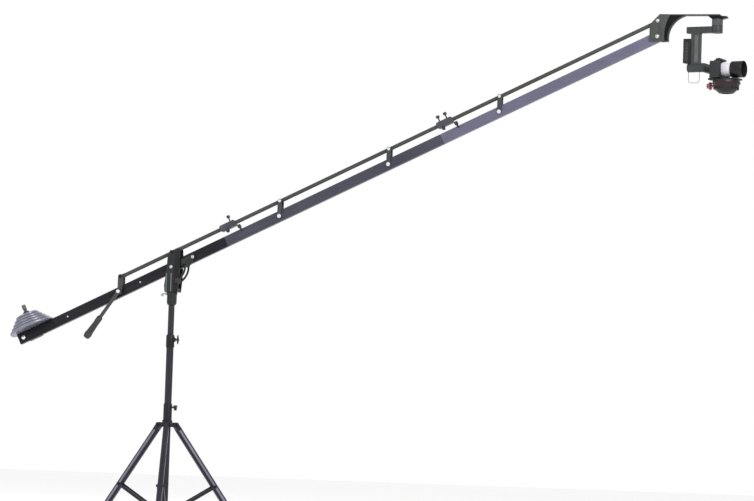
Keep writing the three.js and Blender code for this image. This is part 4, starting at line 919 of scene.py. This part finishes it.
hood = [(0, 0), (HOOD_RADIUS - 0.004, 0), (HOOD_RADIUS - 0.001, 0.0015), (HOOD_RADIUS, 0.004),
        (HOOD_RADIUS, 0.012), (HOOD_RADIUS - 0.0008, 0.0126), (HOOD_RADIUS - 0.0008, 0.0150),
        (HOOD_RADIUS, 0.0156),
        (HOOD_RADIUS, HOOD_LENGTH - 0.0015), (HOOD_RADIUS - 0.0008, HOOD_LENGTH - 0.0002),
        (HOOD_RADIUS - 0.0020, HOOD_LENGTH - 0.0002), (HOOD_RADIUS - 0.0028, HOOD_LENGTH - 0.0015),
        (HOOD_RADIUS - 0.0045, HOOD_LENGTH - 0.026), (HOOD_RADIUS - 0.0055, HOOD_LENGTH - 0.0265),
        (0.032, 0.0335), (0, 0.0335)]
hood_piece = turned("hood_turned", hood, HOOD_AT, LENS_AXIS, "camera_cradle", hood_black, ("lens_hood",), 96)
hood_piece.data.materials.append(hood_flock)
LENS_TURN = LENS_AXIS.to_track_quat("Z", "Y").to_matrix().to_4x4()
hood_place = (Matrix.Translation(HOOD_AT) @ LENS_TURN).inverted()
for face in hood_piece.data.polygons:
    centre = hood_place @ face.center
    facing = (hood_place.to_3x3() @ face.normal).xy.dot(centre.xy)
    if centre.z > 0.03 and (facing < -0.001 or centre.xy.length < 0.034):
        face.material_index = 1
bulge = [(0.030 * math.sin(t), 0.0337 + 0.006 * math.cos(t))
         for t in [math.pi / 2 * i / 10 for i in range(11)]]
turned("front_glass", [*bulge, (0, 0.0336)], HOOD_AT, LENS_AXIS, "camera_cradle", lens_glass, (), 64)
ribs = grown("focus_ribs", ribbed_ring, lens_white, "camera_cradle", radius=LENS_RADIUS - 0.0006,
             height=0.013, rib=0.0016, count=90)
set_down(ribs, Matrix.Translation(LENS_AT + LENS_AXIS * 0.0223) @ LENS_TURN)

# ---- Floor, light and camera ----
# A pale plain floor with soft studio light from above and from the right, and a long lens set low.

floor_paint = finish("floor_paint", (0.93, 0.93, 0.93), 0.9)
floor_mesh = bpy.data.meshes.new("floor")
shape = bmesh.new()
bmesh.ops.create_grid(shape, x_segments=1, y_segments=1, size=30)
shape.to_mesh(floor_mesh)
shape.free()
floor_mesh.materials.append(floor_paint)
floor = bpy.data.objects.new("floor", floor_mesh)
floor.location = (1, 0, -0.0005)
bpy.context.scene.collection.objects.link(floor)
world = bpy.data.worlds.new("studio")
bpy.context.scene.world = world
world.use_nodes = True
world.node_tree.nodes["Background"].inputs["Color"].default_value = (1, 1, 1, 1)
world.node_tree.nodes["Background"].inputs["Strength"].default_value = 1.0
for name, place, aim_at, size, power in (
    ("key_light", (4.5, -4.0, 4.5), (1.0, 0, 1.2), 2.5, 260),
    ("fill_light", (-3.5, -4.5, 3.0), (0.6, 0, 1.2), 3.0, 60),
    ("back_light", (1.0, 4.5, 4.0), (1.0, 0, 1.4), 3.0, 80),
):
    lamp = bpy.data.lights.new(name, "AREA")
    lamp.size = size
    lamp.energy = power
    holder = bpy.data.objects.new(name, lamp)
    holder.location = place
    holder.rotation_euler = (Vector(aim_at) - Vector(place)).to_track_quat("-Z", "Y").to_euler()
    bpy.context.scene.collection.objects.link(holder)
bpy.context.scene.view_settings.view_transform = "Standard"
TURN, RISE_ANGLE, ROLL = math.radians(-15.34), math.radians(3.5), math.radians(1.92)
CAMERA_DISTANCE = 16.38
CAMERA_AIM = Vector((1.0273, 0, 1.3132))
looking = Vector((math.sin(TURN) * math.cos(RISE_ANGLE), math.cos(TURN) * math.cos(RISE_ANGLE),
                  math.sin(RISE_ANGLE)))
level = looking.cross(Vector(FLOOR_UP)).normalized()
upright = level.cross(looking)
across = level * math.cos(ROLL) + upright * math.sin(ROLL)
upright = looking.cross(across) * -1
lens = bpy.data.cameras.new("camera")
lens.lens = 163.1
lens.sensor_width = 36
lens.clip_end = 60
viewer = bpy.data.objects.new("camera", lens)
axes = Matrix((across, upright, -looking)).transposed().to_4x4()
viewer.matrix_world = Matrix.Translation(CAMERA_AIM - looking * CAMERA_DISTANCE) @ axes
bpy.context.scene.collection.objects.link(viewer)
bpy.context.scene.camera = viewer
